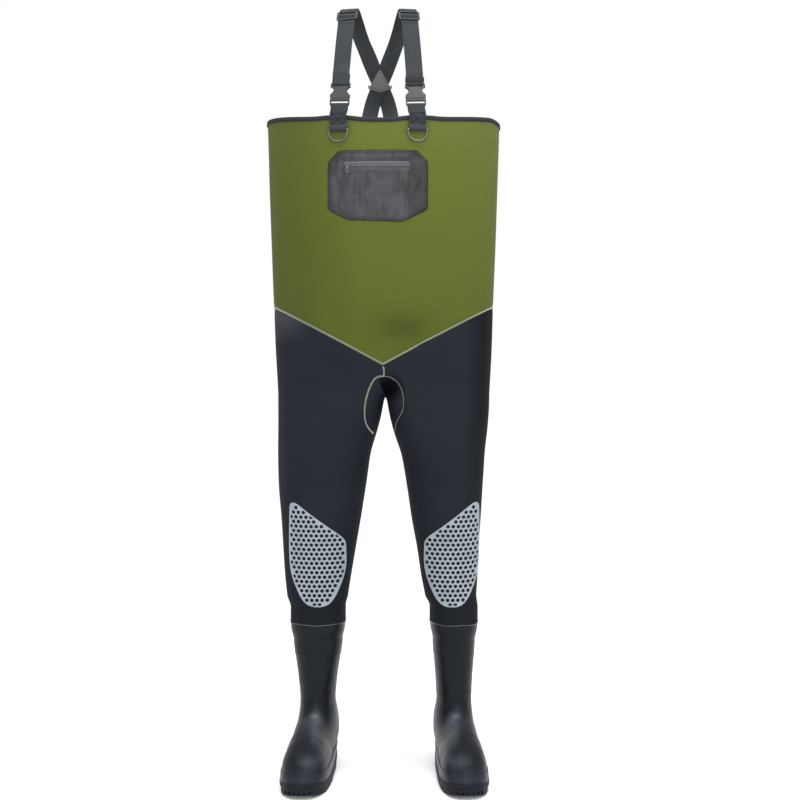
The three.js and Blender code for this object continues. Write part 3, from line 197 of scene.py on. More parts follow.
def power(v, n):
    return np.sign(v) * np.abs(v) ** (2 / n)


def bell(off, width):
    return np.exp(-((off / width) ** 2))


def fold(off, width, ridge, aside):
    """Across a line: a trough of depth 1 with a lower ridge beside it."""
    return ridge * bell(off + aside * width, width) - bell(off, width)


def unit(v):
    return v / np.maximum(np.linalg.norm(v, axis=-1, keepdims=True), 1e-12)


def stack(*parts):
    return np.stack(np.broadcast_arrays(*parts), axis=-1).astype(float)


def sample(rows, column, at):
    """Smooth value of one column of a table at a key, through its rows."""
    if rows[-1, 0] < rows[0, 0]:
        rows = rows[::-1]
    key, value = rows[:, 0], rows[:, column]
    at = np.asarray(at, float)
    last = len(key) - 1
    i = np.clip(np.searchsorted(key, at, side="left") - 1, 0, last - 1)
    before, after = np.maximum(i - 1, 0), np.minimum(i + 2, last)
    width = key[i + 1] - key[i]
    t = np.clip((at - key[i]) / width, 0, 1)
    m1 = (value[i + 1] - value[before]) / (key[i + 1] - key[before]) * width
    m2 = (value[after] - value[i]) / (key[after] - key[i]) * width
    t2, t3 = t * t, t * t * t
    start = (2 * t3 - 3 * t2 + 1) * value[i] + (t3 - 2 * t2 + t) * m1
    return start + (3 * t2 - 2 * t3) * value[i + 1] + (t3 - t2) * m2


class Skin:
    """Points and faces of a sheet, in millimetres."""

    def __init__(self):
        self.rows = []
        self.count = 0
        self.faces = []

    def add(self, points):
        points = np.atleast_2d(points)
        self.rows.append(points)
        self.count += len(points)
        return np.arange(self.count - len(points), self.count)

    def band(self, row, following, turned=False, wrap=True):
        a, b = (row, np.roll(row, -1)) if wrap else (row[:-1], row[1:])
        c, d = (np.roll(following, -1), following) if wrap else (following[1:], following[:-1])
        quads = np.stack([a, b, c, d], axis=1)
        self.faces.extend((quads[:, ::-1] if turned else quads).tolist())

    def sheet(self, rings, turned=False, wrap=True, closed=False):
        """Rows of points with a band of faces between each two, and from last to first where closed."""
        numbers = [self.add(ring) for ring in rings]
        for a, b in zip(numbers, numbers[1:] + (numbers[:1] if closed else [])):
            self.band(a, b, turned, wrap)
        return numbers

    def done(self):
        self.points = np.concatenate(self.rows)
        return self

    def face(self, number, direction):
        """Turns the sheet over where its normal at a point is against a direction."""
        if normals_of(self.points, self.faces)[number] @ np.array(direction, float) < 0:
            self.faces = [f[::-1] for f in self.faces]


def triangles_of(faces):
    return np.array([(f[0], f[i], f[i + 1]) for f in faces for i in range(1, len(f) - 1)])


def normals_of(points, faces):
    tri = triangles_of(faces)
    a, b, c = points[tri[:, 0]], points[tri[:, 1]], points[tri[:, 2]]
    cross = np.cross(b - a, c - a)
    total = np.zeros_like(points)
    for k in range(3):
        for axis in range(3):
            total[:, axis] += np.bincount(tri[:, k], cross[:, axis], len(points))
    return unit(total)


def relax(points, faces, shares, rounds):
    """Moves each point towards the middle of its neighbours, by its own share."""
    pairs = set()
    for f in faces:
        for i, a in enumerate(f):
            b = f[(i + 1) % len(f)]
            pairs.add((a, b))
            pairs.add((b, a))
    pairs = np.array(sorted(pairs))
    moving = shares > 0
    pairs = pairs[moving[pairs[:, 0]]]
    degree = np.maximum(np.bincount(pairs[:, 0], minlength=len(points)), 1)
    points = points.copy()
    for _ in range(rounds):
        for axis in range(3):
            middle = np.bincount(pairs[:, 0], points[pairs[:, 1], axis], len(points)) / degree
            points[:, axis] = np.where(moving, mix(points[:, axis], middle, shares), points[:, axis])
    return points


def open_edges(faces):
    seen = {}
    for f in faces:
        for i, a in enumerate(f):
            seen[(a, f[(i + 1) % len(f)])] = True
    return [(a, b) for a, b in seen if (b, a) not in seen]


def walled(outer, inner, faces):
    """Points and faces of the wall between two copies of a sheet, closed along its open edges."""
    n = len(outer)
    back = [[k + n for k in reversed(f)] for f in faces]
    rim = [[b, a, a + n, b + n] for a, b in open_edges(faces)]
    return np.concatenate([outer, inner]), faces + back + rim


def capped(points, faces):
    """The body inside a sheet with one open edge, closed flat."""
    following = {b: a for a, b in open_edges(faces)}
    start = next(iter(following))
    loop = [start]
    while following[loop[-1]] != start:
        loop.append(following[loop[-1]])
    points = np.concatenate([points, points[loop].mean(0, keepdims=True)])
    fan = [[k, loop[(i + 1) % len(loop)], len(points) - 1] for i, k in enumerate(loop)]
    return points, faces + fan


def tree_of(points, faces):
    return BVHTree.FromPolygons([tuple(p) for p in points], faces)


def cast(tree, x, z, toward):
    """Where a level ray first meets a surface, from the front (toward 1) or from the back (-1)."""
    return tree.ray_cast(Vector((x, -RAY_START * toward, z)), Vector((0, toward, 0)))[:2]


def drape(tree, xs, zs, toward=1):
    """Places on a surface that lie behind points of the front view (toward 1) or of the back view (-1)."""
    places, normals = [], []
    last = None
    for x, z in zip(np.ravel(xs), np.ravel(zs)):
        hit, normal = cast(tree, x, z, toward)
        if hit is None:
            hit, normal = last if last else (Vector((x, 0, z)), Vector((0, -toward, 0)))
        if normal.y * toward > 0:
            normal = -normal
        last = (hit, normal)
        places.append(hit)
        normals.append(normal)
    return np.array(places, float), np.array(normals, float)


# Objects


def world(points):
    return (np.asarray(points, float) + SHIFT) / 1000


def piece(name, points, faces, look, slot, stands_for=(), body="garment", sharp=None, uv=None):
    mesh = bpy.data.meshes.new(name)
    mesh.from_pydata(world(points).tolist(), [], faces)
    mesh.validate()
    dress(name, mesh, look, stands_for, body, sharp, uv)


def relook(mesh, look):
    mesh.materials.clear()
    mesh.materials.append(look.mat)


def dress(name, mesh, look, stands_for=(), body="garment", sharp=None, uv=None):
    """Makes a mesh a piece of the scene: its look, its edges, the body it rides and the nodes it replaces."""
    obj = bpy.data.objects.new(name, mesh)
    scene.collection.objects.link(obj)
    relook(mesh, look)
    mesh.shade_smooth()
    if sharp is not None:
        mesh.set_sharp_from_angle(angle=math.radians(sharp))
    if uv is not None:
        layer = mesh.uv_layers.new(name="UVMap")
        corners = np.zeros(len(mesh.loops), np.int32)
        mesh.loops.foreach_get("vertex_index", corners)
        layer.data.foreach_set("uv", np.asarray(uv, np.float32)[corners].ravel())
    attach(obj, body)
    if stands_for:
        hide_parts(*stands_for)


def cut(first, second, operation):
    """A boolean of two closed bodies, each points and faces or a finished mesh, as a mesh in metres."""
    made = []
    for points, faces in (first, second):
        if isinstance(points, bpy.types.Mesh):
            mesh = points
        else:
            mesh = bpy.data.meshes.new("cut")
            mesh.from_pydata(world(points).tolist(), [], faces)
        obj = bpy.data.objects.new("cut", mesh)
        scene.collection.objects.link(obj)
        made.append(obj)
    tool = made[0].modifiers.new("cut", "BOOLEAN")
    tool.operation = operation
    tool.solver = "EXACT"
    tool.object = made[1]
    result = bpy.data.meshes.new_from_object(made[0].evaluated_get(bpy.context.evaluated_depsgraph_get()))
    for obj in made:
        bpy.data.objects.remove(obj)
    return result


def joined(parts):
    points, faces, base = [], [], 0
    for p, f in parts:
        points.append(p)
        faces += [[k + base for k in face] for face in f]
        base += len(p)
    return np.concatenate(points), faces


BOX_FACES = [[0, 2, 3, 1], [4, 5, 7, 6], [0, 1, 5, 4], [2, 6, 7, 3], [0, 4, 6, 2], [1, 3, 7, 5]]


def box_points(size, centre):
    ends = (-0.5, 0.5)
    return np.array([[x, y, z] for z in ends for y in ends for x in ends]) * size + centre


def tube(path, radius, sides=6, normals=None, closed=False):
    """A round thread along a path."""
    path = np.asarray(path, float)
    if closed:
        along = unit(np.roll(path, -1, 0) - np.roll(path, 1, 0))
    else:
        along = unit(np.gradient(path, axis=0))
    if normals is None:
        normals = np.zeros_like(path)
        guide = np.array([0.0, 0.0, 1.0]) if abs(along[0][2]) < 0.9 else np.array([1.0, 0.0, 0.0])
        for i, t in enumerate(along):
            guide = unit(guide - t * np.dot(guide, t))
            normals[i] = guide
    side = unit(np.cross(along, normals))
    up = unit(np.cross(side, along))
    radius = np.broadcast_to(radius, (len(path),))
    angles = np.arange(sides) / sides * 2 * math.pi
    rings = path[:, None] + radius[:, None, None] * (
        side[:, None] * np.cos(angles)[None, :, None] + up[:, None] * np.sin(angles)[None, :, None]
    )
    skin = Skin()
    numbers = skin.sheet(rings, closed=closed)
    skin.done()
    if not closed:
        skin.faces += [numbers[0].tolist(), numbers[-1][::-1].tolist()]
    return skin.points, [f[::-1] for f in skin.faces]


def travelled(path):
    """How far along a polyline each of its points lies."""
    return np.concatenate([[0], np.cumsum(np.linalg.norm(np.diff(path, axis=0), axis=1))])


def along_path(path, step):
    """Evenly spaced points on a polyline."""
    path = np.asarray(path, float)
    reach = travelled(path)
    count = max(2, int(round(reach[-1] / step)) + 1)
    at = np.linspace(0, reach[-1], count)
    return np.stack([np.interp(at, reach, path[:, k]) for k in range(path.shape[1])], axis=1)


def zigzag(path, normals, width, step, radius, lift=0.5):
    """Overlock stitching: a thread that swings from side to side of a seam."""
    joint = along_path(np.concatenate([path, normals], axis=1), step)
    centre, normal = joint[:, :3], unit(joint[:, 3:])
    forward = unit(np.gradient(centre, axis=0))
    side = unit(np.cross(forward, normal))
    swing = np.where(np.arange(len(centre)) % 2 == 0, 1.0, -1.0)[:, None] * width / 2
    points = centre + side * swing + normal * lift
    # The thread dives a little at each turn and rises over the seam between
    full = np.repeat(points, 2, axis=0)[:-1].copy()
    norm = np.repeat(normal, 2, axis=0)[:-1]
    full[1::2] = (points[:-1] + points[1:]) / 2 + normal[:-1] * radius * 0.6
    return tube(full, radius, 5, norm)


def dashes(path, normals, length, space, radius, lift=0.2, steps=8):
    """A row of short straight stitches, each sunk at its ends."""
    joint = along_path(np.concatenate([path, normals], axis=1), (length + space) / steps)
    parts = []
    span = max(2, int(round(steps * length / (length + space))))
    for start in range(0, len(joint) - steps, steps):
        run = joint[start : start + span + 1]
        arch = np.sin(np.linspace(0, math.pi, len(run)))[:, None]
        points = run[:, :3] + unit(run[:, 3:]) * (lift - radius * 0.8 + arch * radius * 1.2)
        parts.append(tube(points, radius, 5, unit(run[:, 3:])))
    return joined(parts)


# Forms of the part


def torso_point(turn, z):
    height = (z - CROTCH) / (RIM_HEIGHT - CROTCH)
    along = power(np.cos(turn), TORSO_SQUARE)
    depth = np.where(along > 0, sample(TORSO, 2, height), sample(TORSO, 3, height)) * CHEST_HALF_DEPTH
    half = sample(TORSO, 1, height) * CHEST_HALF_WIDTH
    return stack(-half * power(np.sin(turn), TORSO_SQUARE), -along * depth, z)


def rim_at(turn):
    facing = np.cos(turn)
    dip = facing**2 * np.where(facing > 0, RIM_FRONT_DROP, RIM_BACK_DROP)
    across = -CHEST_HALF_WIDTH * power(np.sin(turn), TORSO_SQUARE)
    pull = sum(bell(across - CHEST_SHIFT - s * STRAP_SPACING, WEB_WIDTH) for s in (-1, 1))
    corner = RIM_CORNER_DROP * smooth(across / CHEST_HALF_WIDTH / 0.1 - 9)
    return RIM_HEIGHT - dip - corner + np.where(facing > 0, RIM_PULL * pull, 0)


def seam_at(turn):
    across = np.abs(power(np.sin(turn), TORSO_SQUARE))
    return mix(np.where(np.cos(turn) > 0, SEAM_FRONT, SEAM_BACK), SEAM_SIDE, across)


SEAM_SUNK, SEAM_REACH = 1.1, 7


def waist_pull(points):
    """The sheet is drawn in along the waist seam."""
    x, y, z = points.T
    seam = z - seam_at(np.arctan2(-x / CHEST_HALF_WIDTH, -y / CHEST_HALF_DEPTH))
    return -SEAM_SUNK * bell(seam, SEAM_REACH)


FRONT_RIM = RIM_HEIGHT - RIM_FRONT_DROP + RIM_PULL
BACK_RIM = RIM_HEIGHT - RIM_BACK_DROP


def trough(points, start, end, width, depth):
    """A soft fold along a line of the front view: a trough with a low ridge on its lower side."""
    start = np.array(start, float)
    line = np.array(end) - start
    length = np.linalg.norm(line)
    line /= length
    rel = points[:, [0, 2]] - start
    along = rel @ line
    off = rel @ np.array([-line[1], line[0]])
    fade = smooth((along / length + 0.25) / 0.4) * smooth((1.25 - along / length) / 0.4)
    return depth * fold(off, width, 0.35, 1.7) * fade


def troughs(points, rows, shift=0):
    shift = np.array([shift, 0])
    return sum(trough(points, start + shift, end + shift, *size) for start, end, *size in rows)


def bump_at(points, centre, size, height):
    """A soft rise or hollow about a place of the front view."""
    return height * bell(points[:, 0] - centre[0], size[0]) * bell(points[:, 2] - centre[1], size[1])


def ripple(points, scale, seed):
    """A slow, even unevenness of hand-laid sheet, from a few long waves."""
    total = np.zeros(len(points))
    for k in range(5):
        direction = unit(np.array([math.sin(seed * 12.9 + k * 4.1 + j * 7.7) for j in range(3)]))
        total += np.sin(points @ direction / scale * (1 + 0.37 * k) + seed + k * 1.9) / (1 + k * 0.6)
    return total / 2.5


# Bib, with folds as rows of start, end, width and depth in the front view

BIB_FRONT_FOLDS = [
    ((-150, 1040), (-60, 935), 20, 1.6),
    ((170, 1035), (70, 930), 20, 1.4),
    ((-196, 1120), (-150, 1060), 16, 1.0),
]
BIB_BACK_FOLDS = [
    ((-130, 1060), (-30, 960), 22, 2.2),
    ((130, 1060), (30, 960), 22, 2.2),
    ((-60, 1350), (-50, 1230), 24, 1.6),
    ((60, 1350), (54, 1250), 24, 1.4),
]
bib_columns, bib_rows = 240, 110
bib_turns = np.arange(bib_columns) / bib_columns * 2 * math.pi
bib = Skin()
bib.sheet([
    torso_point(bib_turns, mix(rim_at(bib_turns), seam_at(bib_turns) + SEAM_GAP, row / bib_rows))
    for row in range(bib_rows + 1)
])
bib.done()


def bib_form(points, normals):
    front = smooth((-normals[:, 1] - 0.1) / 0.5)
    back = smooth((normals[:, 1] - 0.1) / 0.5)
    x, z = points[:, 0], points[:, 2]
    move = ripple(points, 55, 3) * 0.7 + waist_pull(points)
    move += front * troughs(points, BIB_FRONT_FOLDS) + back * troughs(points, BIB_BACK_FOLDS)
    move += front * bump_at(points, (36, 962), (52, 26), -2.6)
    move += front * bump_at(points, (-30, 1150), (150, 60), 1.5)
    for sign in (-1, 1):
        # The webbing presses the sheet flat, and its pull on the rim raises a soft fold below each ring
        under = WEB_WIDTH / 2 + 11 - np.abs(x - CHEST_SHIFT - sign * STRAP_SPACING)
        move -= 2.3 * front * smooth(under / 8) * smooth((z - (FRONT_RIM - RING_DROP - 16)) / 10)
        high, low = (CHEST_SHIFT + sign * 84, 1352), (CHEST_SHIFT + sign * 92, 1290)
        move += front * trough(points, high, low, 13, 1.0)
        under = WEB_WIDTH / 2 + 16 - np.abs(x - CHEST_SHIFT - sign * 0.5 * STRAP_SPACING)
        move -= 3.2 * back * smooth(under / 8) * smooth((z - (BACK_RIM - BACK_TAB - 12)) / 10)
    return move


bib_normals = normals_of(bib.points, bib.faces)
bib_outer = bib.points + bib_normals * bib_form(bib.points, bib_normals)[:, None]
bib_normals = normals_of(bib_outer, bib.faces)
bib_tree = tree_of(bib_outer, bib.faces)

# Boots, about the middle of each ankle: across towards the other boot, along to the heel, and up


def turned(x, y, angle):
    return x * math.cos(angle) - y * math.sin(angle), x * math.sin(angle) + y * math.cos(angle)


def place_boot(side, across, y, z):
    across, y, z = np.broadcast_arrays(across, y, z)
    x, y = turned(-SIGN[side] * across, y, math.radians(SIGN[side] * TOE_OUT[side]))
    return stack(x + BOOT_X[side], y, z)


def boot_local(side, points):
    x, y = turned(points[:, 0] - BOOT_X[side], points[:, 1], -math.radians(SIGN[side] * TOE_OUT[side]))
    return -SIGN[side] * x, y, points[:, 2]


def shaft_point(side, turn, z, proud=0.0):
    height = np.asarray(z, float) / SHAFT_TOP
    spread = sample(SHAFT, 1, height)
    half_width = mix(ANKLE_HALF_WIDTH, SHAFT_HALF_WIDTH[side], spread) + proud
    half_depth = mix(ANKLE_HALF_DEPTH, SHAFT_HALF_DEPTH[side], spread)
    along = power(np.cos(turn), SHAFT_SQUARE)
    reach = np.where(along > 0, sample(SHAFT, 2, height), sample(SHAFT, 3, height)) * half_depth + proud
    return place_boot(side, -half_width * power(np.sin(turn), SHAFT_SQUARE), -along * reach, z)


def along_foot(share):
    return HEEL_BACK - FOOT_LENGTH * share


def from_toe(share):
    return along_foot(1 - share)


def foot_point(side, section, turn):
    top_at, top_z, bot_at, bot_z, half_width, shift, equator, above, below = section
    top = np.array([from_toe(top_at), top_z * INSTEP])
    bottom = np.array([from_toe(bot_at), bot_z * INSTEP])
    rise = np.cos(turn)
    square = np.where(rise > 0, above, below)
    along = equator + power(rise, square) * np.where(rise > 0, 1 - equator, 1 + equator)
    across = shift - half_width * power(np.sin(turn), square)
    here = bottom + (top - bottom) * ((along + 1) / 2)[:, None]
    return place_boot(side, across * BALL_HALF_WIDTH, here[:, 0], here[:, 1])


def lofted(rings, steps):
    """Rings between rings, on a smooth line through them. The first and last ring only guide."""
    rings = np.array(rings)
    gaps = np.linalg.norm(np.diff(rings, axis=0), axis=2).mean(1)
    slope = np.diff(rings, axis=0) / gaps[:, None, None]
    out = []
    for i in range(1, len(rings) - 2):
        w = gaps[i]
        m1 = (slope[i - 1] * gaps[i] + slope[i] * gaps[i - 1]) / (gaps[i] + gaps[i - 1])
        m2 = (slope[i] * gaps[i + 1] + slope[i + 1] * gaps[i]) / (gaps[i] + gaps[i + 1])
        for t in np.arange(steps) / steps:
            h = (2 * t**3 - 3 * t**2 + 1, t**3 - 2 * t**2 + t, 3 * t**2 - 2 * t**3, t**3 - t**2)
            out.append(h[0] * rings[i] + h[1] * w * m1 + h[2] * rings[i + 1] + h[3] * w * m2)
    return out


boot_columns = 96
boot_turns = np.arange(boot_columns) / boot_columns * 2 * math.pi


def boot_skin(side, shaft_rows, steps):
    """The last's surface: rows down the shaft, rings round the foot and the toe tip."""
    low = [shaft_point(side, boot_turns, SHAFT[row, 0] * SHAFT_TOP) for row in (-2, -1)]
    foot = [foot_point(side, section, boot_turns) for section in FOOT]
    tip = place_boot(side, TOE_TIP[2] * BALL_HALF_WIDTH, from_toe(TOE_TIP[0]), TOE_TIP[1] * INSTEP)
    beyond = np.roll(foot[-1], boot_columns // 2, axis=0)
    rings = lofted(low + foot + [np.tile(tip, (boot_columns, 1)), beyond], steps)
    skin = Skin()
    backward = side == "left"
    rows = [shaft_point(side, boot_turns, z, proud) for z, proud in shaft_rows]
    last = skin.sheet(rows + rings, backward)[-1].tolist()
    tip = skin.add(tip)[0]
    for k, a in enumerate(last):
        face = [a, last[(k + 1) % boot_columns], tip]
        skin.faces.append(face[::-1] if backward else face)
    return skin.done()


SOLE_LINE = [(along_foot(a), mix(FORE_SOLE, HEEL_SOLE, t) + s * TOE_SPRING) for a, t, s in SOLE_TOP]
TREAD_LINE = [(along_foot(a), arch * ARCH_LIFT + s * TOE_SPRING) for a, arch, s in SOLE_BOTTOM]


def sole_top(y):
    """Height of the sole's upper side line at a place along the foot."""
    ys, zs = np.array(SOLE_LINE[::-1]).T
    return np.interp(y, ys, zs)


def raised(line, lift):
    return [(y, z + lift) for y, z in line]


def side_prism(side, low, high):
    """A prism across a boot, of the band between two lines given in y and z."""
    outline = low[::-1] + high
    n = len(outline)
    points = np.array([(BOOT_X[side] + x, y, z) for x in (-150, 150) for y, z in outline], float)
    following = outline[1:] + outline[:1]
    area = sum(y0 * z1 - y1 * z0 for (y0, z0), (y1, z1) in zip(outline, following))
    faces = [list(range(n))[::-1], list(range(n, 2 * n))]
    faces += [[i, (i + 1) % n, (i + 1) % n + n, i + n] for i in range(n)]
    return points, [f[::-1] for f in faces] if area < 0 else faces


# Flex folds across the vamp, as place, depth, width and tilt
VAMP_FOLDS = [(-122, 0.4, 11, 0.1), (-96, 0.2, 9, -0.08)]
# Folds and slack round the ankle and moulded lines on the shaft, as height, depth and width
ANKLE_FOLDS = [(176, 0.5, 9), (156, 0.7, 11), (134, 0.5, 10)]
HEEL_FOLDS = [(150, 0.8, 9), (172, 0.7, 9)]
SHAFT_LINES = [(255, 0.8, 1.9), (172, 0.6, 1.7)]


def boot_form(side, points, normals):
    """Flex folds over the instep, slack at the ankle and moulded lines round the shaft."""
    across, y, z = boot_local(side, points)
    up = smooth(normals[:, 2] * 2 + 0.4)
    forward = smooth(-normals[:, 1] * 2 + 0.2)
    behind = smooth(normals[:, 1] * 2 - 0.2)
    above_sole = smooth((z - sole_top(points[:, 1]) - FOXING_HEIGHT - 2) / 14)
    move = ripple(points, 24, 5 + SIGN[side]) * 0.35
    for at, depth, width, tilt in VAMP_FOLDS:
        off = y - at - across * tilt + 4 * np.cos(across / 22)
        move += above_sole * up * depth * fold(off, width, 0.5, 1.6)
    for at, depth, width in ANKLE_FOLDS:
        off = z - at - 0.16 * np.abs(across) + 3.0 * np.sin(across / 15 + at)
        move += forward * depth * fold(off, width, 0.45, -1.7)
    for at, depth, width in HEEL_FOLDS:
        move -= behind * depth * bell(z - at - 3 * np.sin(across / 13), width)
    for at, height, width in SHAFT_LINES:
        move += height * bell(z - at, width)
    toe_cap = y - along_foot(0.8) + 0.004 * across**2
    move += above_sole * 0.25 * smooth(-toe_cap / 4) * smooth((toe_cap + 70) / 30)
    return move


boots = {}
SHAFT_STEP, PLAIN_ABOVE = 2.5, HEM - 6
for side in SIDES:
    # Straight rows inside the trousers, then the collar, which swells out below the hem
    shaft = [(345, 0), (338, 0), (331, 0), (HEM + 0.4, 0), (HEM + 0.2, 0)]
    collar_top = HEM - GAP
    lower = np.arange(collar_top - SHAFT_STEP, SHAFT[-1, 0] * SHAFT_TOP, -SHAFT_STEP)
    for z in np.concatenate([[collar_top], lower]):
        share = (z - COLLAR_LOW) / (collar_top - COLLAR_LOW)
        shaft.append((z, np.interp(share, [0, 0.04, 0.5, 1], [0, 0.35, COLLAR_PROUD * 0.7, COLLAR_PROUD])))
    skin = boot_skin(side, shaft, 8)
    normals = normals_of(skin.points, skin.faces)
    keep_plain = smooth((PLAIN_ABOVE - skin.points[:, 2]) / 12)
    outer = skin.points + normals * (boot_form(side, skin.points, normals) * keep_plain)[:, None]
    boots[side] = (skin, outer, normals_of(outer, skin.faces))

# Trousers: rows round the hips, a line from front to back under the crotch, and rows round each leg

trouser_columns, inner_columns, hip_rows, leg_rows = 128, 36, 36, 116
half_columns = trouser_columns // 2
FORK_TURN, FORK_LENGTH, RELAX_ROUNDS = 0.6, 0.26, 260
SLEEVE_GAP = 1.2


def leg_point(side, turn, share):
    z = mix(CROTCH, HEM, share)
    free = LEG[-1, 0]

    def value(name):
        return sample(LEG, LEG_COLUMN[name], min(share, free))

    outer, inner = value(side + "Outer") * HIP_HALF_WIDTH, value(side + "Inner") * HIP_HALF_WIDTH
    along = power(np.cos(turn), LEG_SQUARE)
    across = (outer + inner) / 2 + (outer - inner) / 2 * power(np.sin(turn), LEG_SQUARE)
    depth = np.where(along > 0, value("front"), value("back")) * THIGH_HALF_DEPTH
    body = stack(SIGN[side] * across, -along * depth, z)
    sleeve = shaft_point(side, turn, z, SLEEVE_GAP + NEOPRENE)
    bonded = (CROTCH - SHAFT_TOP - NEOPRENE * 2) / (CROTCH - HEM)
    return mix(body, sleeve, smooth((share - free) / (bonded - free)))


trousers = Skin()
turns = np.arange(trouser_columns) / trouser_columns * 2 * math.pi
fork_height = CROTCH + FORK_RISE * np.abs(np.cos(turns)) ** 1.5
rows, shares = [], []
for down in np.arange(hip_rows + 1) / hip_rows:
    points = torso_point(turns, mix(seam_at(turns) - SEAM_GAP, fork_height, down))
    points[:, 0] += CROTCH_SHIFT * np.abs(np.cos(turns)) * down
    rows.append(points)
    shares.append(down * down * 0.5 * (1 - smooth(np.abs(np.sin(turns)))))
hips = trousers.sheet(rows)
front_depth, back_depth = (
    float(sample(TORSO, k, FORK_RISE / (RIM_HEIGHT - CROTCH))) * CHEST_HALF_DEPTH for k in (2, 3)
)
under = np.arange(1, inner_columns) / inner_columns * math.pi
swing = np.cos(under)
crotch_y = swing * np.where(swing > 0, back_depth, front_depth)
crotch = trousers.add(stack(CROTCH_SHIFT, crotch_y, CROTCH + FORK_RISE * (1 - np.sin(under) ** 0.9)))
shares.append(np.full(len(crotch), 0.25))
leg_turns = np.concatenate([
    mix(-FORK_TURN, math.pi + FORK_TURN, np.arange(half_columns + 1) / half_columns),
    mix(math.pi + FORK_TURN, math.pi * 2 - FORK_TURN, np.arange(1, inner_columns) / inner_columns),
])
known = np.concatenate(trousers.rows)
for side in SIDES:
    outer_line = hips[-1][(-SIGN[side] * np.arange(half_columns + 1)) % trouser_columns]
    previous = top = np.concatenate([outer_line, crotch])
    for share in np.arange(1, leg_rows + 1) / leg_rows:
        blend = smooth(share / FORK_LENGTH)
        start, end = known[top], leg_point(side, leg_turns, share)
        ring = mix(start, end, blend)
        ring[:, 2] = end[:, 2] + (start[:, 2] - CROTCH) * (1 - blend)
        ring = trousers.add(ring)
        shares.append(0.5 * (1 - smooth(share / FORK_LENGTH / 1.3)) * (1 - smooth(np.sin(leg_turns))))
        trousers.band(previous, ring, side == "left")
        previous = ring
trousers.done()
trousers.points = relax(trousers.points, trousers.faces, np.concatenate(shares), RELAX_ROUNDS)

# The relaxed rows stay in order below the waist seam, and the sheet is drawn up to a point at the fork
for row, numbers in enumerate(hips[1:], 1):
    x, y, z = trousers.points[numbers].T
    across = np.minimum(np.abs(x) / (float(sample(TORSO, 1, 0.12)) * CHEST_HALF_WIDTH), 1)
    ceiling = mix(np.where(y < 0, SEAM_FRONT, SEAM_BACK), SEAM_SIDE, across) - SEAM_GAP - 0.3 * row
    trousers.points[numbers, 2] = np.minimum(z, ceiling)
trousers.points[:, 2] += bump_at(trousers.points, (GUSSET["x"], CROTCH - 12), (17, 22), FORK_LIFT)


def gusset_at(x, z):
    """Signed distance, about, from the gusset's seam in the front view, negative inside."""
    rx, rz = (x - GUSSET["x"]) / GUSSET["half_width"], (z - GUSSET["z"]) / GUSSET["half_height"]
    r = np.sqrt(rx * rx + rz * rz) + 1e-9
    return (r - 1) * np.sqrt((rx * GUSSET["half_width"]) ** 2 + (rz * GUSSET["half_height"]) ** 2) / r


# Folds that run out from the crotch
CROTCH_FOLDS = [
    ((-50, 850), (-150, 905), 13, 2.0),
    ((-58, 815), (-165, 842), 14, 1.8),
    ((52, 850), (150, 912), 13, 2.0),
    ((60, 812), (170, 846), 14, 1.8),
    ((-72, 770), (-150, 770), 15, 1.3),
    ((74, 772), (150, 764), 15, 1.3),
]
# Slack above and below the knee pads, and behind the knees, about the pad's middle
KNEE_FOLDS = [
    ((-46, 628), (40, 618), 11, 1.3),
    ((-40, 598), (44, 606), 9, 0.9),
    ((-34, 366), (34, 360), 8, 1.0),
]
KNEE_BACK_FOLDS = [
    ((-46, 560), (46, 552), 12, 3.0),
    ((-46, 522), (46, 532), 12, 2.6),
    ((-42, 490), (44, 482), 11, 1.8),
    ((-42, 600), (44, 590), 12, 1.6),
]


def trouser_form(points, normals):
    front = smooth((-normals[:, 1] - 0.05) / 0.5)
    back = smooth((normals[:, 1] - 0.05) / 0.5)
    x, _, z = points.T
    move = ripple(points, 42, 7) * 0.8 + waist_pull(points)
    move += (front + back * 1.5) * troughs(points, CROTCH_FOLDS)
    for knee in PAD_X.values():
        move += front * troughs(points, KNEE_FOLDS, knee) + back * troughs(points, KNEE_BACK_FOLDS, knee)
    # Seams draw the sheet in: the gusset's outline and the middle line above it
    facing = np.maximum(front, back)
    above_gusset = smooth((z - GUSSET["z"] - GUSSET["half_height"] + 4) / 6)
    move -= facing * 1.3 * bell(gusset_at(x, z), 4.5) * (np.abs(x) < 90)
    move -= facing * 1.2 * bell(x - CROTCH_SHIFT / 2, 5) * above_gusset
    return move * smooth((z - HEM) / 14)


trouser_normals = normals_of(trousers.points, trousers.faces)
trouser_outer = trousers.points + trouser_normals * trouser_form(trousers.points, trouser_normals)[:, None]
trouser_normals = normals_of(trouser_outer, trousers.faces)
trouser_tree = tree_of(trouser_outer, trousers.faces)


# Looks, with places in metres about the foot of the part


def tone(r, g, b):
    """A colour given as it looks on a screen, from 0 to 255."""
    shares = (r / 255, g / 255, b / 255)
    return tuple(v / 12.92 if v <= 0.04045 else ((v + 0.055) / 1.055) ** 2.4 for v in shares) + (1,)


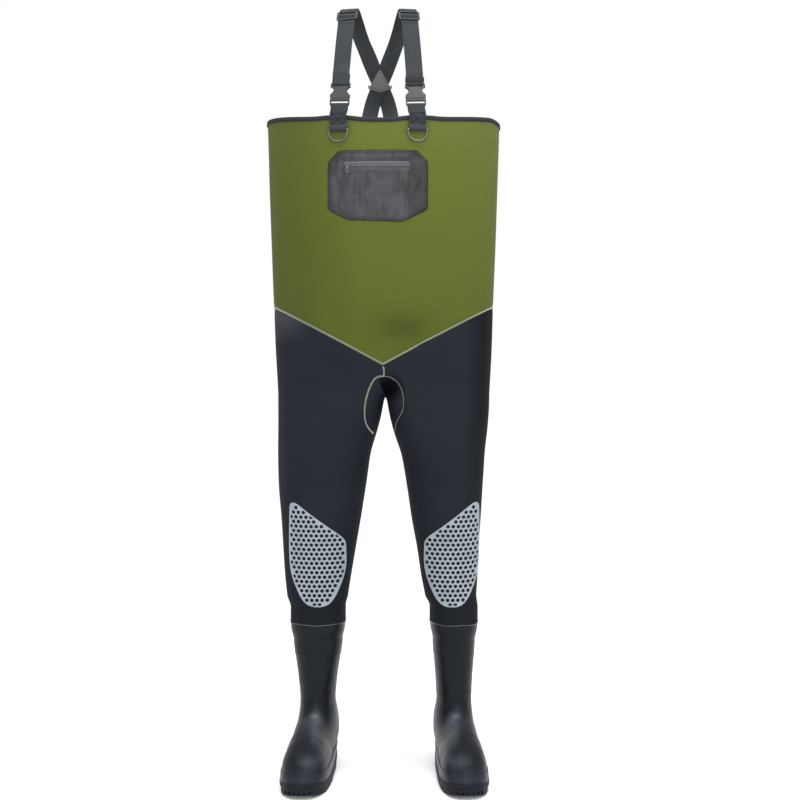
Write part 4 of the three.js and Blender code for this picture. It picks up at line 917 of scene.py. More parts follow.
class Look:
    """A material built from small procedural steps. Axes are 0, 1 and 2."""

    def __init__(self, name, colour, rough, metal=0.0, level=0.5, shine=1.0, sheen=(0.0, 0.5)):
        self.mat = bpy.data.materials.new(name)
        self.mat.use_nodes = True
        self.tree = self.mat.node_tree
        self.inputs = self.tree.nodes["Principled BSDF"].inputs
        self.colour = tone(*colour)
        self.inputs["Base Color"].default_value = self.colour
        self.inputs["Roughness"].default_value = rough
        self.inputs["Metallic"].default_value = metal
        self.inputs["Specular IOR Level"].default_value = level
        self.inputs["Specular Tint"].default_value = (shine, shine, shine, 1)
        self.inputs["Sheen Weight"].default_value, self.inputs["Sheen Roughness"].default_value = sheen
        self.normal = None
        self.coordinates = self.node("ShaderNodeTexCoord").outputs

    def node(self, kind, **values):
        node = self.tree.nodes.new(kind)
        for key, value in values.items():
            if hasattr(node, key):
                setattr(node, key, value)
            else:
                node.inputs[key].default_value = value
        return node

    def link(self, a, b):
        self.tree.links.new(a, b)

    def noise(self, scale, detail=3.0, rough=0.5, stretch=(1, 1, 1)):
        mapping = self.node("ShaderNodeMapping", Scale=stretch)
        self.link(self.coordinates["Object"], mapping.inputs["Vector"])
        node = self.node("ShaderNodeTexNoise", Scale=scale, Detail=detail, Roughness=rough)
        self.link(mapping.outputs["Vector"], node.inputs["Vector"])
        return node.outputs["Fac"]

    def ranged(self, value, low, high, to_low=0, to_high=1):
        node = self.node("ShaderNodeMapRange")
        for key, v in zip(("From Min", "From Max", "To Min", "To Max"), (low, high, to_low, to_high)):
            node.inputs[key].default_value = v
        self.link(value, node.inputs["Value"])
        return node.outputs["Result"]

    def part(self, axis, source="Object"):
        split = self.node("ShaderNodeSeparateXYZ")
        self.link(self.coordinates[source], split.inputs[0])
        return split.outputs[axis]

    def math(self, operation, *values):
        node = self.node("ShaderNodeMath", operation=operation)
        for socket, v in zip(node.inputs, values):
            if isinstance(v, (int, float)):
                socket.default_value = v
            else:
                self.link(v, socket)
        return node.outputs[0]

    def product(self, first, *others):
        for other in others:
            first = self.math("MULTIPLY", first, other)
        return first

    def off(self, value, centre, width):
        return self.math("DIVIDE", self.math("SUBTRACT", value, centre), width)

    def squares(self, a, b):
        return self.math("ADD", self.product(a, a), self.product(b, b))

    def blot(self, a, b):
        """1 where both values are 0, fading softly away from there."""
        return self.math("POWER", math.e, self.product(self.squares(a, b), -1))

    def wave(self, value, pitch):
        """A smooth rise and fall, from 0 to 1, that repeats each pitch."""
        turn = self.math("SINE", self.product(value, 2 * math.pi / pitch))
        return self.math("MULTIPLY_ADD", turn, 0.5, 0.5)

    def tint(self, factor, colour):
        """Blends the colour so far with another where the factor is 1."""
        node = self.node("ShaderNodeMix", data_type="RGBA")
        self.link(factor, node.inputs[0])
        linked = self.inputs["Base Color"].links
        if linked:
            self.link(linked[0].from_socket, node.inputs[6])
        else:
            node.inputs[6].default_value = self.colour
        node.inputs[7].default_value = tone(*colour)
        self.link(node.outputs[2], self.inputs["Base Color"])

    def mottle(self, noise, low, high, amount, colour):
        self.tint(self.ranged(self.noise(*noise), low, high, 0, amount), colour)

    def fade(self, axis, start, end, amount, colour):
        """Another colour that comes in from one place along an axis to another."""
        self.tint(self.ranged(self.part(axis), start, end, 0, amount), colour)

    def roughness(self, noise, low, high):
        self.link(self.ranged(self.noise(*noise), 0.3, 0.7, low, high), self.inputs["Roughness"])

    def relief(self, height, strength, depth):
        node = self.node("ShaderNodeBump", Strength=strength, Distance=depth)
        self.link(height, node.inputs["Height"])
        if self.normal:
            self.link(self.normal, node.inputs["Normal"])
        self.shaped(node)

    def grain(self, noise, strength, depth):
        self.relief(self.noise(*noise), strength, depth)

    def softened(self, radius):
        node = self.node("ShaderNodeBevel", samples=4)
        node.inputs["Radius"].default_value = radius
        self.shaped(node)

    def shaped(self, node):
        self.normal = node.outputs["Normal"]
        self.link(self.normal, self.inputs["Normal"])


green = Look("green_neoprene", (80, 89, 33), 0.88, level=0.12, sheen=(0.03, 0.5))
# Painted shade: the bib darkens towards its bottom, away from the light above
green.fade(2, 1.28, 0.93, 0.55, (64, 73, 24))
green.mottle((7, 2), 0.42, 0.75, 0.3, (73, 81, 28))
green.mottle((900, 2), 0.45, 0.7, 0.3, (60, 68, 22))
# Painted light: paler at the top of the bib, where the light from above falls
green.fade(2, 1.28, 1.4, 0.8, (86, 94, 42))
# Painted shade: darker to the wearer's right, away from the light, and a painted shadow in a soft hollow low
# on the front
green.fade(0, -0.05, -0.17, 0.5, (58, 65, 22))
spot = green.blot(green.off(green.part(0), 0.04, 0.055), green.off(green.part(2), 0.957, 0.03))
green.tint(green.product(spot, green.ranged(green.part(1), 0, -0.03, 0, 0.55)), (44, 50, 18))

black = Look("black_neoprene", (27, 31, 38), 0.78, level=0.1)
black.mottle((9, 2), 0.42, 0.75, 0.4, (20, 23, 30))
black.mottle((900, 2), 0.45, 0.7, 0.3, (15, 17, 23))
# The fold beside the fork lies in deep shade, up to the crease on its outer side
crease = black.math("MULTIPLY_ADD", black.part(2), -0.341, 0.2803)
around = black.squares(black.off(black.part(0), 0.012, 0.03), black.off(black.part(2), 0.834, 0.027))
shade = black.product(
    black.ranged(around, 0.2, 1.5, 1, 0),
    black.ranged(black.math("SUBTRACT", black.part(0), crease), -0.001, 0.003),
    black.ranged(black.part(1), 0.06, 0.03),
)
black.tint(shade, (9, 9, 12))
black.link(black.math("MULTIPLY_ADD", shade, -0.1, 0.1), black.inputs["Specular IOR Level"])
# Painted shade along the outer side of the left leg; also darker low down, and pale on the right hip
black.fade(0, 0.17, 0.212, 0.85, (8, 10, 14))
hip = black.product(black.ranged(black.part(2), 0.93, 0.98), black.ranged(black.part(0), -0.15, -0.2, 0, 0.6))
black.tint(hip, (62, 65, 69))
black.fade(2, 0.62, 0.36, 0.6, (12, 15, 20))
for look, strength in ((green, 0.35), (black, 0.3)):
    look.grain((1500, 2, 0.6), strength, 0.0004)
    look.grain((260, 3, 0.6), 0.12, 0.001)

binding_look = Look("binding_tape", (38, 39, 42), 0.75, level=0.2)
binding_look.relief(binding_look.wave(binding_look.part(2), 0.0011), 0.4, 0.0002)
binding_look.grain((1200, 2), 0.3, 0.0003)

thread_look = Look("seam_thread", (168, 171, 155), 0.6, level=0.3)
thread_look.mottle((300, 2), 0.35, 0.7, 0.6, (128, 131, 118))
dark_thread = Look("dark_thread", (17, 18, 21), 0.7, level=0.15)
for look in (thread_look, dark_thread):
    look.grain((1800, 1), 0.4, 0.0002)

rubber = Look("boot_rubber", (15, 19, 26), 0.35, level=0.12)
rubber.softened(0.0009)
rubber.roughness((24, 4), 0.31, 0.41)
rubber.mottle((11, 3), 0.4, 0.75, 0.4, (19, 23, 31))
rubber.fade(2, 0.062, 0.042, 0.8, (36, 41, 50))
# The instep is polished by wear, a clear coat there, and a pale painted highlight is tinted over it, as on
# the top of the toe
PAINTED_HIGHLIGHT = (64, 68, 78)
from_middle = rubber.math("ABSOLUTE", rubber.math("SUBTRACT", rubber.part(0), 0.002))
aside = rubber.off(from_middle, 0.143, 0.019)
instep = rubber.blot(aside, rubber.off(rubber.part(2), 0.124, 0.024))
instep_gloss_and_highlight = rubber.product(instep, rubber.ranged(rubber.part(1), -0.03, -0.05))
rubber.link(instep_gloss_and_highlight, rubber.inputs["Coat Weight"])
rubber.inputs["Coat Roughness"].default_value = 0.34
rubber.tint(rubber.product(instep_gloss_and_highlight, 0.8), PAINTED_HIGHLIGHT)
toe = rubber.blot(aside, rubber.off(rubber.part(2), 0.068, 0.011))
rubber.tint(rubber.product(toe, rubber.ranged(rubber.part(1), -0.1, -0.13, 0, 0.5)), PAINTED_HIGHLIGHT)
rubber.grain((420, 3, 0.55), 0.1, 0.0006)
rubber.grain((60, 2), 0.1, 0.002)

tread = Look("tread_rubber", (20, 24, 31), 0.6, level=0.12)
tread.softened(0.0011)
tread.mottle((60, 4), 0.45, 0.75, 0.5, (34, 36, 40))
# Fine upright ribs round the foot of the tread
ribs = tread.ranged(tread.wave(tread.part(1), 0.009), 0.25, 0.45)
tread.relief(tread.product(ribs, tread.ranged(tread.part(2), 0.0125, 0.0145, 1, 0)), 0.8, 0.002)
tread.grain((500, 3, 0.55), 0.15, 0.0006)

webbing = Look("webbing", (51, 55, 59), 0.72, level=0.3, shine=0.5, sheen=(0.05, 0.4))
# Painted light: paler towards the back, on the straps' faces that lie in shade there
webbing.fade(1, 0.02, 0.08, 1, (76, 80, 84))
# A herringbone weave, in millimetres across and along the band
across, along = webbing.part(0, "UV"), webbing.part(1, "UV")
from_middle = webbing.math("SUBTRACT", across, WEB_WIDTH / 2)
chevron = webbing.math("ADD", webbing.math("ABSOLUTE", from_middle), along)
cords = webbing.math("MULTIPLY_ADD", webbing.wave(across, 1.5), 0.5, 0.5)
weave = webbing.product(webbing.wave(chevron, 2.4), cords)
webbing.tint(webbing.ranged(weave, 0.1, 0.6, 0.6, 0), (32, 35, 38))
webbing.relief(weave, 0.7, 0.0006)

pocket_look = Look("coated_nylon", (47, 48, 52), 0.42, level=0.5, shine=0.6, sheen=(0.03, 0.4))
pocket_look.roughness((30, 4), 0.36, 0.52)
pocket_look.mottle((20, 3), 0.45, 0.62, 0.6, (33, 34, 37))
pocket_look.mottle((34, 3, 0.5, (1.5, 1, 0.8)), 0.55, 0.7, 0.5, (66, 68, 72))
# Painted shade over the pocket's part towards the wearer's left, beside its deep folds
pocket_look.fade(0, 0.045, 0.062, 0.8, (24, 25, 27))
cloth = pocket_look.product(*(pocket_look.wave(pocket_look.part(axis), 0.0009) for axis in (0, 2)))
pocket_look.relief(cloth, 0.25, 0.0002)
pocket_look.grain((70, 4), 0.35, 0.003)
pocket_look.grain((24, 2, 0.45, (1, 1, 0.6)), 0.9, 0.016)

zip_look = Look("welded_strip", (77, 78, 83), 0.5, level=0.4)
zip_look.softened(0.0005)
zip_look.grain((700, 2), 0.2, 0.0003)
coil_look = Look("zip_coil", (74, 75, 80), 0.45, level=0.4)
coil_look.grain((900, 1), 0.2, 0.0002)
zip_metal = Look("zip_metal", (98, 98, 102), 0.28, metal=1.0)
zip_metal.softened(0.0004)
zip_metal.roughness((300, 4), 0.26, 0.45)

print_look = Look("knee_print", (138, 147, 155), 0.66, level=0.3)
print_look.mottle((40, 4), 0.4, 0.75, 0.5, (122, 131, 139))
print_look.grain((900, 3), 0.25, 0.0004)

buckle_look = Look("buckle_plastic", (57, 57, 60), 0.36, level=0.5, shine=0.8)
buckle_look.softened(0.0009)
buckle_look.roughness((160, 3), 0.3, 0.46)
slider_look = Look("slider_plastic", (32, 33, 36), 0.4, level=0.4, shine=0.6)
slider_look.softened(0.0008)
slider_look.roughness((160, 3), 0.3, 0.45)
for look in (buckle_look, slider_look):
    look.grain((1200, 2), 0.15, 0.0002)

ring_look = Look("ring_metal", (104, 105, 108), 0.3, metal=1.0)
ring_look.roughness((220, 4), 0.2, 0.4)
ring_look.grain((900, 2), 0.08, 0.0002)

patch_look = Look("moulded_patch", (126, 126, 128), 0.6, level=0.3)
patch_look.softened(0.0008)
patch_look.grain((420, 3), 0.3, 0.0006)

felt = Look("insole_felt", (60, 61, 65), 0.95, level=0.2)
felt.grain((800, 3), 0.6, 0.001)

hem_line_look = Look("pale_hem_line", (84, 87, 91), 0.3, level=0.5)
hem_line_look.grain((300, 3), 0.2, 0.0004)

keeper_look = Look("keeper_elastic", (34, 35, 38), 0.8, level=0.25)
keeper_look.relief(keeper_look.wave(keeper_look.part(2), 0.0012), 0.5, 0.0003)

floor_look = Look("pale_floor", (250, 250, 250), 0.9, level=0.1)
floor_look.inputs["Emission Color"].default_value = (1, 1, 1, 1)
floor_look.inputs["Emission Strength"].default_value = 0.08
floor_look.grain((3, 2), 0.02, 0.01)

# Bib, trousers and boots

inner_bib = bib_outer - bib_normals * NEOPRENE
piece("bib_shell", *walled(bib_outer, inner_bib, bib.faces), green, "neoprene_green", ["bib"], sharp=50)
inner_trousers = trouser_outer - trouser_normals * NEOPRENE
trouser_wall = walled(trouser_outer, inner_trousers, trousers.faces)
piece("trouser_shell", *trouser_wall, black, "neoprene_black", ["leg_right", "leg_left", "gusset"], sharp=50)

FOXING_OVERLAP, FOXING_SUNK, TREAD_OVERLAP, SHELL_TUCK = 1.0, 1.4, 0.2, 3


def boot_pieces(side):
    skin, outer, normals = boots[side]
    above = outer[:, 2] > sole_top(outer[:, 1]) - SHELL_TUCK
    kept = [f for f in skin.faces if all(above[k] for k in f)]
    used = sorted({k for f in kept for k in f})
    number = {k: i for i, k in enumerate(used)}
    kept = [[number[k] for k in f] for f in kept]
    wall = walled(outer[used], skin.points[used] - normals[used] * BOOT_WALL, kept)
    piece(f"boot_shell_{side}", *wall, rubber, "boot_rubber", [f"boot_upper_{side}"], sharp=60)

    # Below the shaft: the foxing band, the proud step and the tread, each cut from the last's own surface
    form = boot_skin(side, [], 5)
    form_normals = normals_of(form.points, form.faces)

    def grown(by):
        return form.points + form_normals * by

    wall = walled(grown(FOXING_PROUD), grown(-FOXING_SUNK), form.faces)
    band = side_prism(side, raised(SOLE_LINE, -FOXING_OVERLAP), raised(SOLE_LINE, FOXING_HEIGHT))
    dress(f"foxing_{side}", cut(wall, band, "INTERSECT"), rubber, sharp=40)
    band = side_prism(side, raised(SOLE_LINE, -SOLE_STEP), SOLE_LINE)
    mesh = cut(capped(grown(SOLE_PROUD), form.faces), band, "INTERSECT")
    dress(f"sole_step_{side}", mesh, tread, [f"outsole_{side}"], sharp=40)
    band = side_prism(side, TREAD_LINE, raised(SOLE_LINE, TREAD_OVERLAP - SOLE_STEP))
    mesh = cut(capped(grown(TREAD_PROUD), form.faces), band, "INTERSECT")
    groove = (BALL_HALF_WIDTH * 3, LUG_GROOVE, LUG_DEPTH * 2)
    grooves = [box_points(groove, (0, along_foot(a), 0)) for a in GROOVES]
    notch = (TOE_NOTCH, FOOT_LENGTH * 0.14, (LUG_DEPTH + TOE_SPRING) * 2)
    grooves += [box_points(notch, (a * BALL_HALF_WIDTH, from_toe(0.045), 0)) for a in NOTCHES]
    boxes = []
    for points in grooves:
        x, y = turned(points[:, 0], points[:, 1], math.radians(SIGN[side] * TOE_OUT[side]))
        boxes.append((stack(x + BOOT_X[side], y, points[:, 2]), BOX_FACES))
    dress(f"tread_{side}", cut((mesh, None), joined(boxes), "DIFFERENCE"), tread, sharp=40)
    relook(frame["nodes"][f"insole_{side}"].data, felt)

    # The trouser's cut edge, with a thin pale line round it over the collar
    around = np.arange(180) / 180 * 2 * math.pi
    line = shaft_point(side, around, HEM - 0.6, COLLAR_PROUD + 0.25)
    line[:, 2] += 0.7 * np.sin(around * 5 + SIGN[side]) + 0.4 * np.sin(around * 13)
    piece(f"hem_line_{side}", *tube(line, 0.6, 6, closed=True), hem_line_look, "binding")


for side in SIDES:
    boot_pieces(side)

# Rim binding, folded over the bib's edge, its profile given as out from the bib's face and up from its edge

rim = bib_outer[:bib_columns]
down = unit(bib_outer[bib_columns : 2 * bib_columns] - rim)
out = unit(bib_normals[:bib_columns] * [1, 1, 0])
outside, inside = GAP + BINDING_THICKNESS, -NEOPRENE - GAP - BINDING_THICKNESS
middle, reach = (outside + inside) / 2, (outside - inside) / 2
foot = -BINDING_DEPTH
profile = [(-0.4, foot - 0.3), (outside * 0.75, foot - 0.2), (outside, foot + 0.8), (outside, -1)]
for angle in np.linspace(0, math.pi, 9):
    profile.append((middle + reach * math.cos(angle), 0.2 + (outside + 1.2) * abs(math.sin(angle)) ** 0.8))
profile += [(inside, -1), (inside, foot + 0.8), (inside * 0.97, foot - 0.2), (-NEOPRENE + 0.4, foot - 0.3)]
sweep = Skin()
rings = [rim + out * off + (np.array([0, 0, up]) if up >= 0 else -down * up) for off, up in profile]
sweep.sheet(rings, True, closed=True)
sweep.done()
piece("binding", sweep.points, sweep.faces, binding_look, "binding", ["rim_binding"], sharp=60)
line = rim + out * (outside + 0.05) + down * (BINDING_DEPTH - 1.6)
thread = dashes(np.concatenate([line, line[:1]]), np.concatenate([out, out[:1]]), 3.2, 1.2, 0.32)
piece("binding_stitches", *thread, dark_thread, "binding")

# Pocket


def rounded(corners, steps):
    """An outline whose corners are rounded over a share of the lines beside them."""
    out = []
    for i, (x, z, r) in enumerate(corners):
        before = np.array(corners[i - 1][:2])
        after = np.array(corners[(i + 1) % len(corners)][:2])
        corner = np.array([x, z])
        start, end = mix(corner, before, r), mix(corner, after, r)
        for t in np.linspace(0, 1, steps + 1):
            out.append((1 - t) ** 2 * start + 2 * t * (1 - t) * corner + t * t * end)
    return np.array(out)


def looped(path):
    return np.concatenate([path, path[:1]])


def inset_line(edge, middle, by):
    return middle + (edge - middle) * (1 - by / np.linalg.norm(edge - middle, axis=1))[:, None]


zip_z = POCKET_TOP - ZIP_DROP
zip_left = CHEST_SHIFT - POCKET_WIDTH * 0.335
left, right = CHEST_SHIFT - POCKET_WIDTH / 2, CHEST_SHIFT + POCKET_WIDTH / 2
bottom = POCKET_TOP - POCKET_HEIGHT
bevel = POCKET_CORNER * 0.86
edge = rounded([
    (left + POCKET_CORNER * 1.6, bottom + 4, 0.06),
    (right - POCKET_CORNER * 2, bottom, 0.06),
    (right, bottom + POCKET_CORNER, 0.08),
    (right, POCKET_TOP - bevel, 0.08),
    (right - bevel, POCKET_TOP, 0.06),
    (left + bevel, POCKET_TOP, 0.06),
    (left, POCKET_TOP - bevel, 0.08),
    (left, bottom + POCKET_CORNER, 0.08),
], 5)
edge = along_path(looped(edge), 3.0)[:-1]
middle = np.array([CHEST_SHIFT, bottom + POCKET_HEIGHT / 2])
POCKET_FOLDS = [
    ((-78, 1232), (-40, 1262), 9, 1.3),
    ((-50, 1206), (2, 1224), 10, 1.1),
    ((20, 1240), (66, 1216), 9, 1.2),
    ((-20, 1268), (40, 1256), 12, 0.9),
    ((60, 1270), (84, 1238), 8, 1.0),
    ((-96, 1262), (-84, 1216), 7, 0.9),
    ((66, 1316), (49, 1190), 6, 2.0),
    ((88, 1290), (70, 1222), 6, 1.2),
]
# How far the panel stands off the bib, by the distance in from its edge
POCKET_INSETS, POCKET_LIFTS = [0, 0.5, 1.5, 4, 7, 20, 60], [0.5, 1.5, 2.0, 1.9, 2.3, 3.3, 3.7]
ZIP_BED, EDGE_SUNK = 1.9, -0.6
rings = []
for r in np.concatenate([[1.0, 1.0, 0.994, 0.985, 0.97, 0.95], np.linspace(0.93, 0.03, 42)]):
    flat = middle + (edge - middle) * r
    places, normals = drape(bib_tree, flat[:, 0], flat[:, 1])
    inset = (1 - r) * np.linalg.norm(edge - middle, axis=1)
    folds = troughs(places, POCKET_FOLDS) + ripple(places, 14, 11) * 0.5
    lift = np.interp(inset, POCKET_INSETS, POCKET_LIFTS) + folds * smooth(inset / 14)
    from_zip = np.abs(places[:, 0] - zip_left - ZIP_LENGTH / 2)
    near_zip = smooth((14 - np.abs(places[:, 2] - zip_z)) / 8) * smooth((ZIP_LENGTH / 2 + 12 - from_zip) / 8)
    lift = mix(lift, ZIP_BED, near_zip * smooth(inset / 6))
    rings.append(places + normals * (lift[:, None] if rings else EDGE_SUNK))
pocket = Skin()
last = pocket.sheet(rings)[-1].tolist()
centre = pocket.add(rings[-1].mean(0))[0]
pocket.faces += [[a, last[(k + 1) % len(last)], centre] for k, a in enumerate(last)]
pocket.done().face(centre, (0, -1, 0))
piece("pocket_panel", pocket.points, pocket.faces, pocket_look, "pocket_fabric", ["pocket"], sharp=70)
pocket_tree = tree_of(pocket.points, pocket.faces)
for inset in (3.2, 5.6):
    spots = drape(pocket_tree, *looped(inset_line(edge, middle, inset)).T)
    piece(f"pocket_stitches_{int(inset)}", *dashes(*spots, 2.6, 1.0, 0.26), dark_thread, "pocket_fabric")

# The fabric is turned under round the edge, which draws a dark line
places, normals = drape(bib_tree, *edge.T)
piece("pocket_edge", *tube(places + normals * 0.75, 0.95, 8, closed=True), dark_thread, "pocket_fabric")

# Zip: a welded strip with a coil along it, its section given as up and off the pocket
half_section = [(4.5, -0.5), (4.5, 0.25), (4.1, 0.5), (1.5, 0.55), (1.15, 0.1)]
xs = np.linspace(zip_left, zip_left + ZIP_LENGTH, 68)
rounding = np.interp(np.minimum(xs - zip_left, zip_left + ZIP_LENGTH - xs), [0, 1.5, 3], [0.78, 0.94, 1])
rows = []
for dz, lift in [(-dz, lift) for dz, lift in half_section] + half_section[::-1]:
    places, normals = drape(pocket_tree, xs, zip_z + dz * rounding)
    rows.append(places + normals * lift)
strip = Skin()
numbers = strip.sheet(rows, wrap=False)
strip.faces += [[row[0] for row in numbers], [row[-1] for row in numbers][::-1]]
strip.done().face(numbers[3][30], (0, -1, 0))
piece("zip_strip", strip.points, strip.faces, zip_look, "zip_strip", ["zip_tape"], sharp=40)
spots = drape(pocket_tree, np.linspace(zip_left + 3, zip_left + ZIP_LENGTH - 3, 120), np.full(120, zip_z))
piece("zip_coil", *zigzag(*spots, 1.9, 0.75, 0.34, 0.35), coil_look, "zip_strip")
for name in ("zip_slider", "zip_pull"):
    relook(frame["nodes"][name].data, zip_metal)

# Knee pads: a printed sheet with a solid border and staggered round holes

HOLE, PITCH_X, PITCH_Z, BORDER, HOLE_SIDES = 4.1, 10.9, 10.0, 2.7, 12
PRINT_PROUD, PRINT_SUNK = 1.1, 0.3


def pad_outline(side):
    w, h = SIGN[side] * PAD_WIDTH[side] / 2, PAD_HEIGHT / 2
    corners = [(PAD_X[side] + a * w, PAD_Z + u * h, r) for a, u, r in PAD_CORNERS]
    outline = along_path(looped(rounded(corners, 8)), 3.2)[:-1]
    following = np.roll(outline, -1, 0)
    area = (outline[:, 0] * following[:, 1] - following[:, 0] * outline[:, 1]).sum()
    return outline if area > 0 else outline[::-1]


def knee_pad(side):
    outline = pad_outline(side)
    direction = unit(np.roll(outline, -1, 0) - outline)
    inward = stack(-direction[:, 1], direction[:, 0])
    places = [tuple(p) for p in outline]
    loops = [list(range(len(outline)))]
    rows = int(PAD_HEIGHT / PITCH_Z) + 6
    for j in range(-rows // 2, rows // 2 + 1):
        for i in range(-9, 10):
            centre = np.array([PAD_X[side] + (i + 0.5 * (j % 2)) * PITCH_X, PAD_Z + j * PITCH_Z])
            if ((centre - outline) * inward).sum(1).min() < BORDER + 0.7:
                continue
            # A hole near the edge is cut off straight where the border begins
            start = len(places)
            for t in np.arange(HOLE_SIDES) / HOLE_SIDES * 2 * math.pi:
                p = centre + HOLE * np.array([math.cos(t), math.sin(t)])
                for _ in range(3):
                    inset = ((p - outline) * inward).sum(1)
                    nearest = int(inset.argmin())
                    p = p + inward[nearest] * max(0.0, BORDER - inset[nearest])
                places.append(tuple(p))
            loops.append(list(range(start, start + HOLE_SIDES)))
    points, _, faces, _, _, loops_of = delaunay_2d_cdt([Vector(p) for p in places], [], loops, 1, 1e-5)
    flat = np.array([tuple(v) for v in points])
    faces = [list(f) for f, within in zip(faces, loops_of) if max(within) == 0]
    surface, normals = drape(trouser_tree, *flat.T)
    # Counter-clockwise in the front view means facing the viewer
    a, b, c = flat[faces[0][:3]]
    if (b[0] - a[0]) * (c[1] - a[1]) < (b[1] - a[1]) * (c[0] - a[0]):
        faces = [f[::-1] for f in faces]
    wall = walled(surface + normals * PRINT_PROUD, surface - normals * PRINT_SUNK, faces)
    piece(f"knee_print_{side}", *wall, print_look, "knee_print", [f"knee_pad_{side}"], sharp=40)


for side in SIDES:
    knee_pad(side)

# Seams

seam_line, seam_normals = bib_outer[-bib_columns:], bib_normals[-bib_columns:]
right_half = np.arange(bib_columns // 2 + 1)
left_half = np.arange(bib_columns // 2, bib_columns + 1) % bib_columns
for name, keep, width, step in (("right", right_half, 5.0, 2.5), ("left", left_half, 4.2, 2.0)):
    thread = zigzag(seam_line[keep], seam_normals[keep], width, step, 0.62)
    piece(f"waist_stitches_{name}", *thread, thread_look, "binding")


def runs(flat, tree, toward, shortest=6, jump=5, edge_on=0.12):
    """The stretches of a line of the front or back view that lie on one smooth surface."""
    out, stretch = [], []
    for x, z in along_path(flat, 1.5):
        hit, normal = cast(tree, x, z, toward)
        seen = hit is not None and normal.y * toward < -edge_on
        if seen and not (stretch and abs(hit.y - stretch[-1][0][1]) > jump):
            stretch.append((tuple(hit), tuple(normal)))
        elif stretch:
            out.append(stretch)
            stretch = []
    kept = [stretch for stretch in out + [stretch] if len(stretch) > shortest]
    return [[np.array(part) for part in zip(*stretch)] for stretch in kept]


def curve_through(points, steps=14):
    """A smooth line through points of the front view."""
    points = np.array(points, float)
    ends = np.concatenate([2 * points[:1] - points[1:2], points, 2 * points[-1:] - points[-2:-1]])
    out = []
    t = (np.arange(steps) / steps)[:, None]
    for p0, p1, p2, p3 in zip(ends, ends[1:], ends[2:], ends[3:]):
        bend, twist = 2 * p0 - 5 * p1 + 4 * p2 - p3, 3 * p1 - p0 - 3 * p2 + p3
        out.append(0.5 * (2 * p1 + (p2 - p0) * t + bend * t**2 + twist * t**3))
    return np.concatenate(out + [points[-1:]])


top_z = GUSSET["z"] + GUSSET["half_height"]
angles = np.linspace(0, 2 * math.pi, 200)
for face, toward, seam_z in (("front", 1, SEAM_FRONT), ("back", -1, SEAM_BACK)):
    line = [(1.0, seam_z - 4), (2.4, (seam_z + top_z) / 2), (GUSSET["x"], top_z)]
    for k, spots in enumerate(runs(line, trouser_tree, toward)):
        piece(f"rise_stitches_{face}_{k}", *zigzag(*spots, 3.6, 1.9, 0.55), thread_look, "binding")
    for half, part, width, radius in (("right", angles[100:], 4.2, 0.6), ("left", angles[:101], 1.6, 0.3)):
        line = curve_through(GUSSET_LINE[half])
        if face == "back":
            across = GUSSET["x"] + GUSSET["half_width"] * np.sin(part)
            line = stack(across, GUSSET["z"] + GUSSET["half_height"] * np.cos(part))
        for k, spots in enumerate(runs(line, trouser_tree, toward)):
            thread = zigzag(*spots, width, 2.0, radius)
            piece(f"gusset_stitches_{face}_{half}_{k}", *thread, thread_look, "binding")

INSEAM_TURN = 1.5 * math.pi + 0.55
inseam = int(np.argmin(np.abs(leg_turns - INSEAM_TURN)))
first_leg = (hip_rows + 1) * trouser_columns + len(crotch)
for index, side in enumerate(SIDES):
    rows = index * leg_rows + np.arange(int(leg_rows * 0.3), int(leg_rows * 0.97))
    picks = first_leg + rows * len(leg_turns) + inseam
    thread = dashes(trouser_outer[picks], trouser_normals[picks], 3.4, 1.6, 0.34)
    piece(f"inseam_stitches_{side}", *thread, dark_thread, "binding")

# Webbing: the lines that the braces follow, seated on the solid bib as the part's own are

cad_bib = frame["nodes"]["bib"].data
cad_points = [np.array(v.co) * 1000 - SHIFT for v in cad_bib.vertices]
cad_tree = tree_of(cad_points, [list(p.vertices) for p in cad_bib.polygons])


def seat(x, z, outward, width):
    """A place on the bib for a flat piece of some width, clear of the curve, and the way it faces."""

    def depth_at(place):
        return cast(cad_tree, place, z, -outward)[0].y

    left = depth_at(x - width / 2)
    slope = (depth_at(x + width / 2) - left) / width
    away = unit(np.array([-outward * slope, outward, 0.0]))
    steps = [i / 12 * width for i in range(13)]
    lift = max([0] + [(depth_at(x - width / 2 + at) - left - slope * at) * away[1] for at in steps])
    return np.array([x, left + slope * width / 2, z]) + away * lift, away


def through(points, steps=160):
    """A smooth curve through points, its speed set by the root of their distances."""
    points = [np.array(p, float) for p in points]
    points = [2 * points[0] - points[1]] + points + [2 * points[-1] - points[-2]]
    t = (np.arange(steps) / steps)[:, None]
    out = []
    for p0, p1, p2, p3 in zip(points, points[1:], points[2:], points[3:]):
        d0, d1, d2 = (math.sqrt(np.linalg.norm(b - a)) for a, b in ((p0, p1), (p1, p2), (p2, p3)))
        m1 = ((p1 - p0) / d0 - (p2 - p0) / (d0 + d1) + (p2 - p1) / d1) * d1
        m2 = ((p2 - p1) / d1 - (p3 - p1) / (d1 + d2) + (p3 - p2) / d2) * d1
        start = (2 * t**3 - 3 * t**2 + 1) * p1 + (t**3 - 2 * t**2 + t) * m1
        out.append(start + (3 * t**2 - 2 * t**3) * p2 + (t**3 - t**2) * m2)
    return np.concatenate(out + [points[-2][None]])


BACK_SPACING, BACK_SPLAY, TRACK_STEP = 0.46, 0.2, 0.5


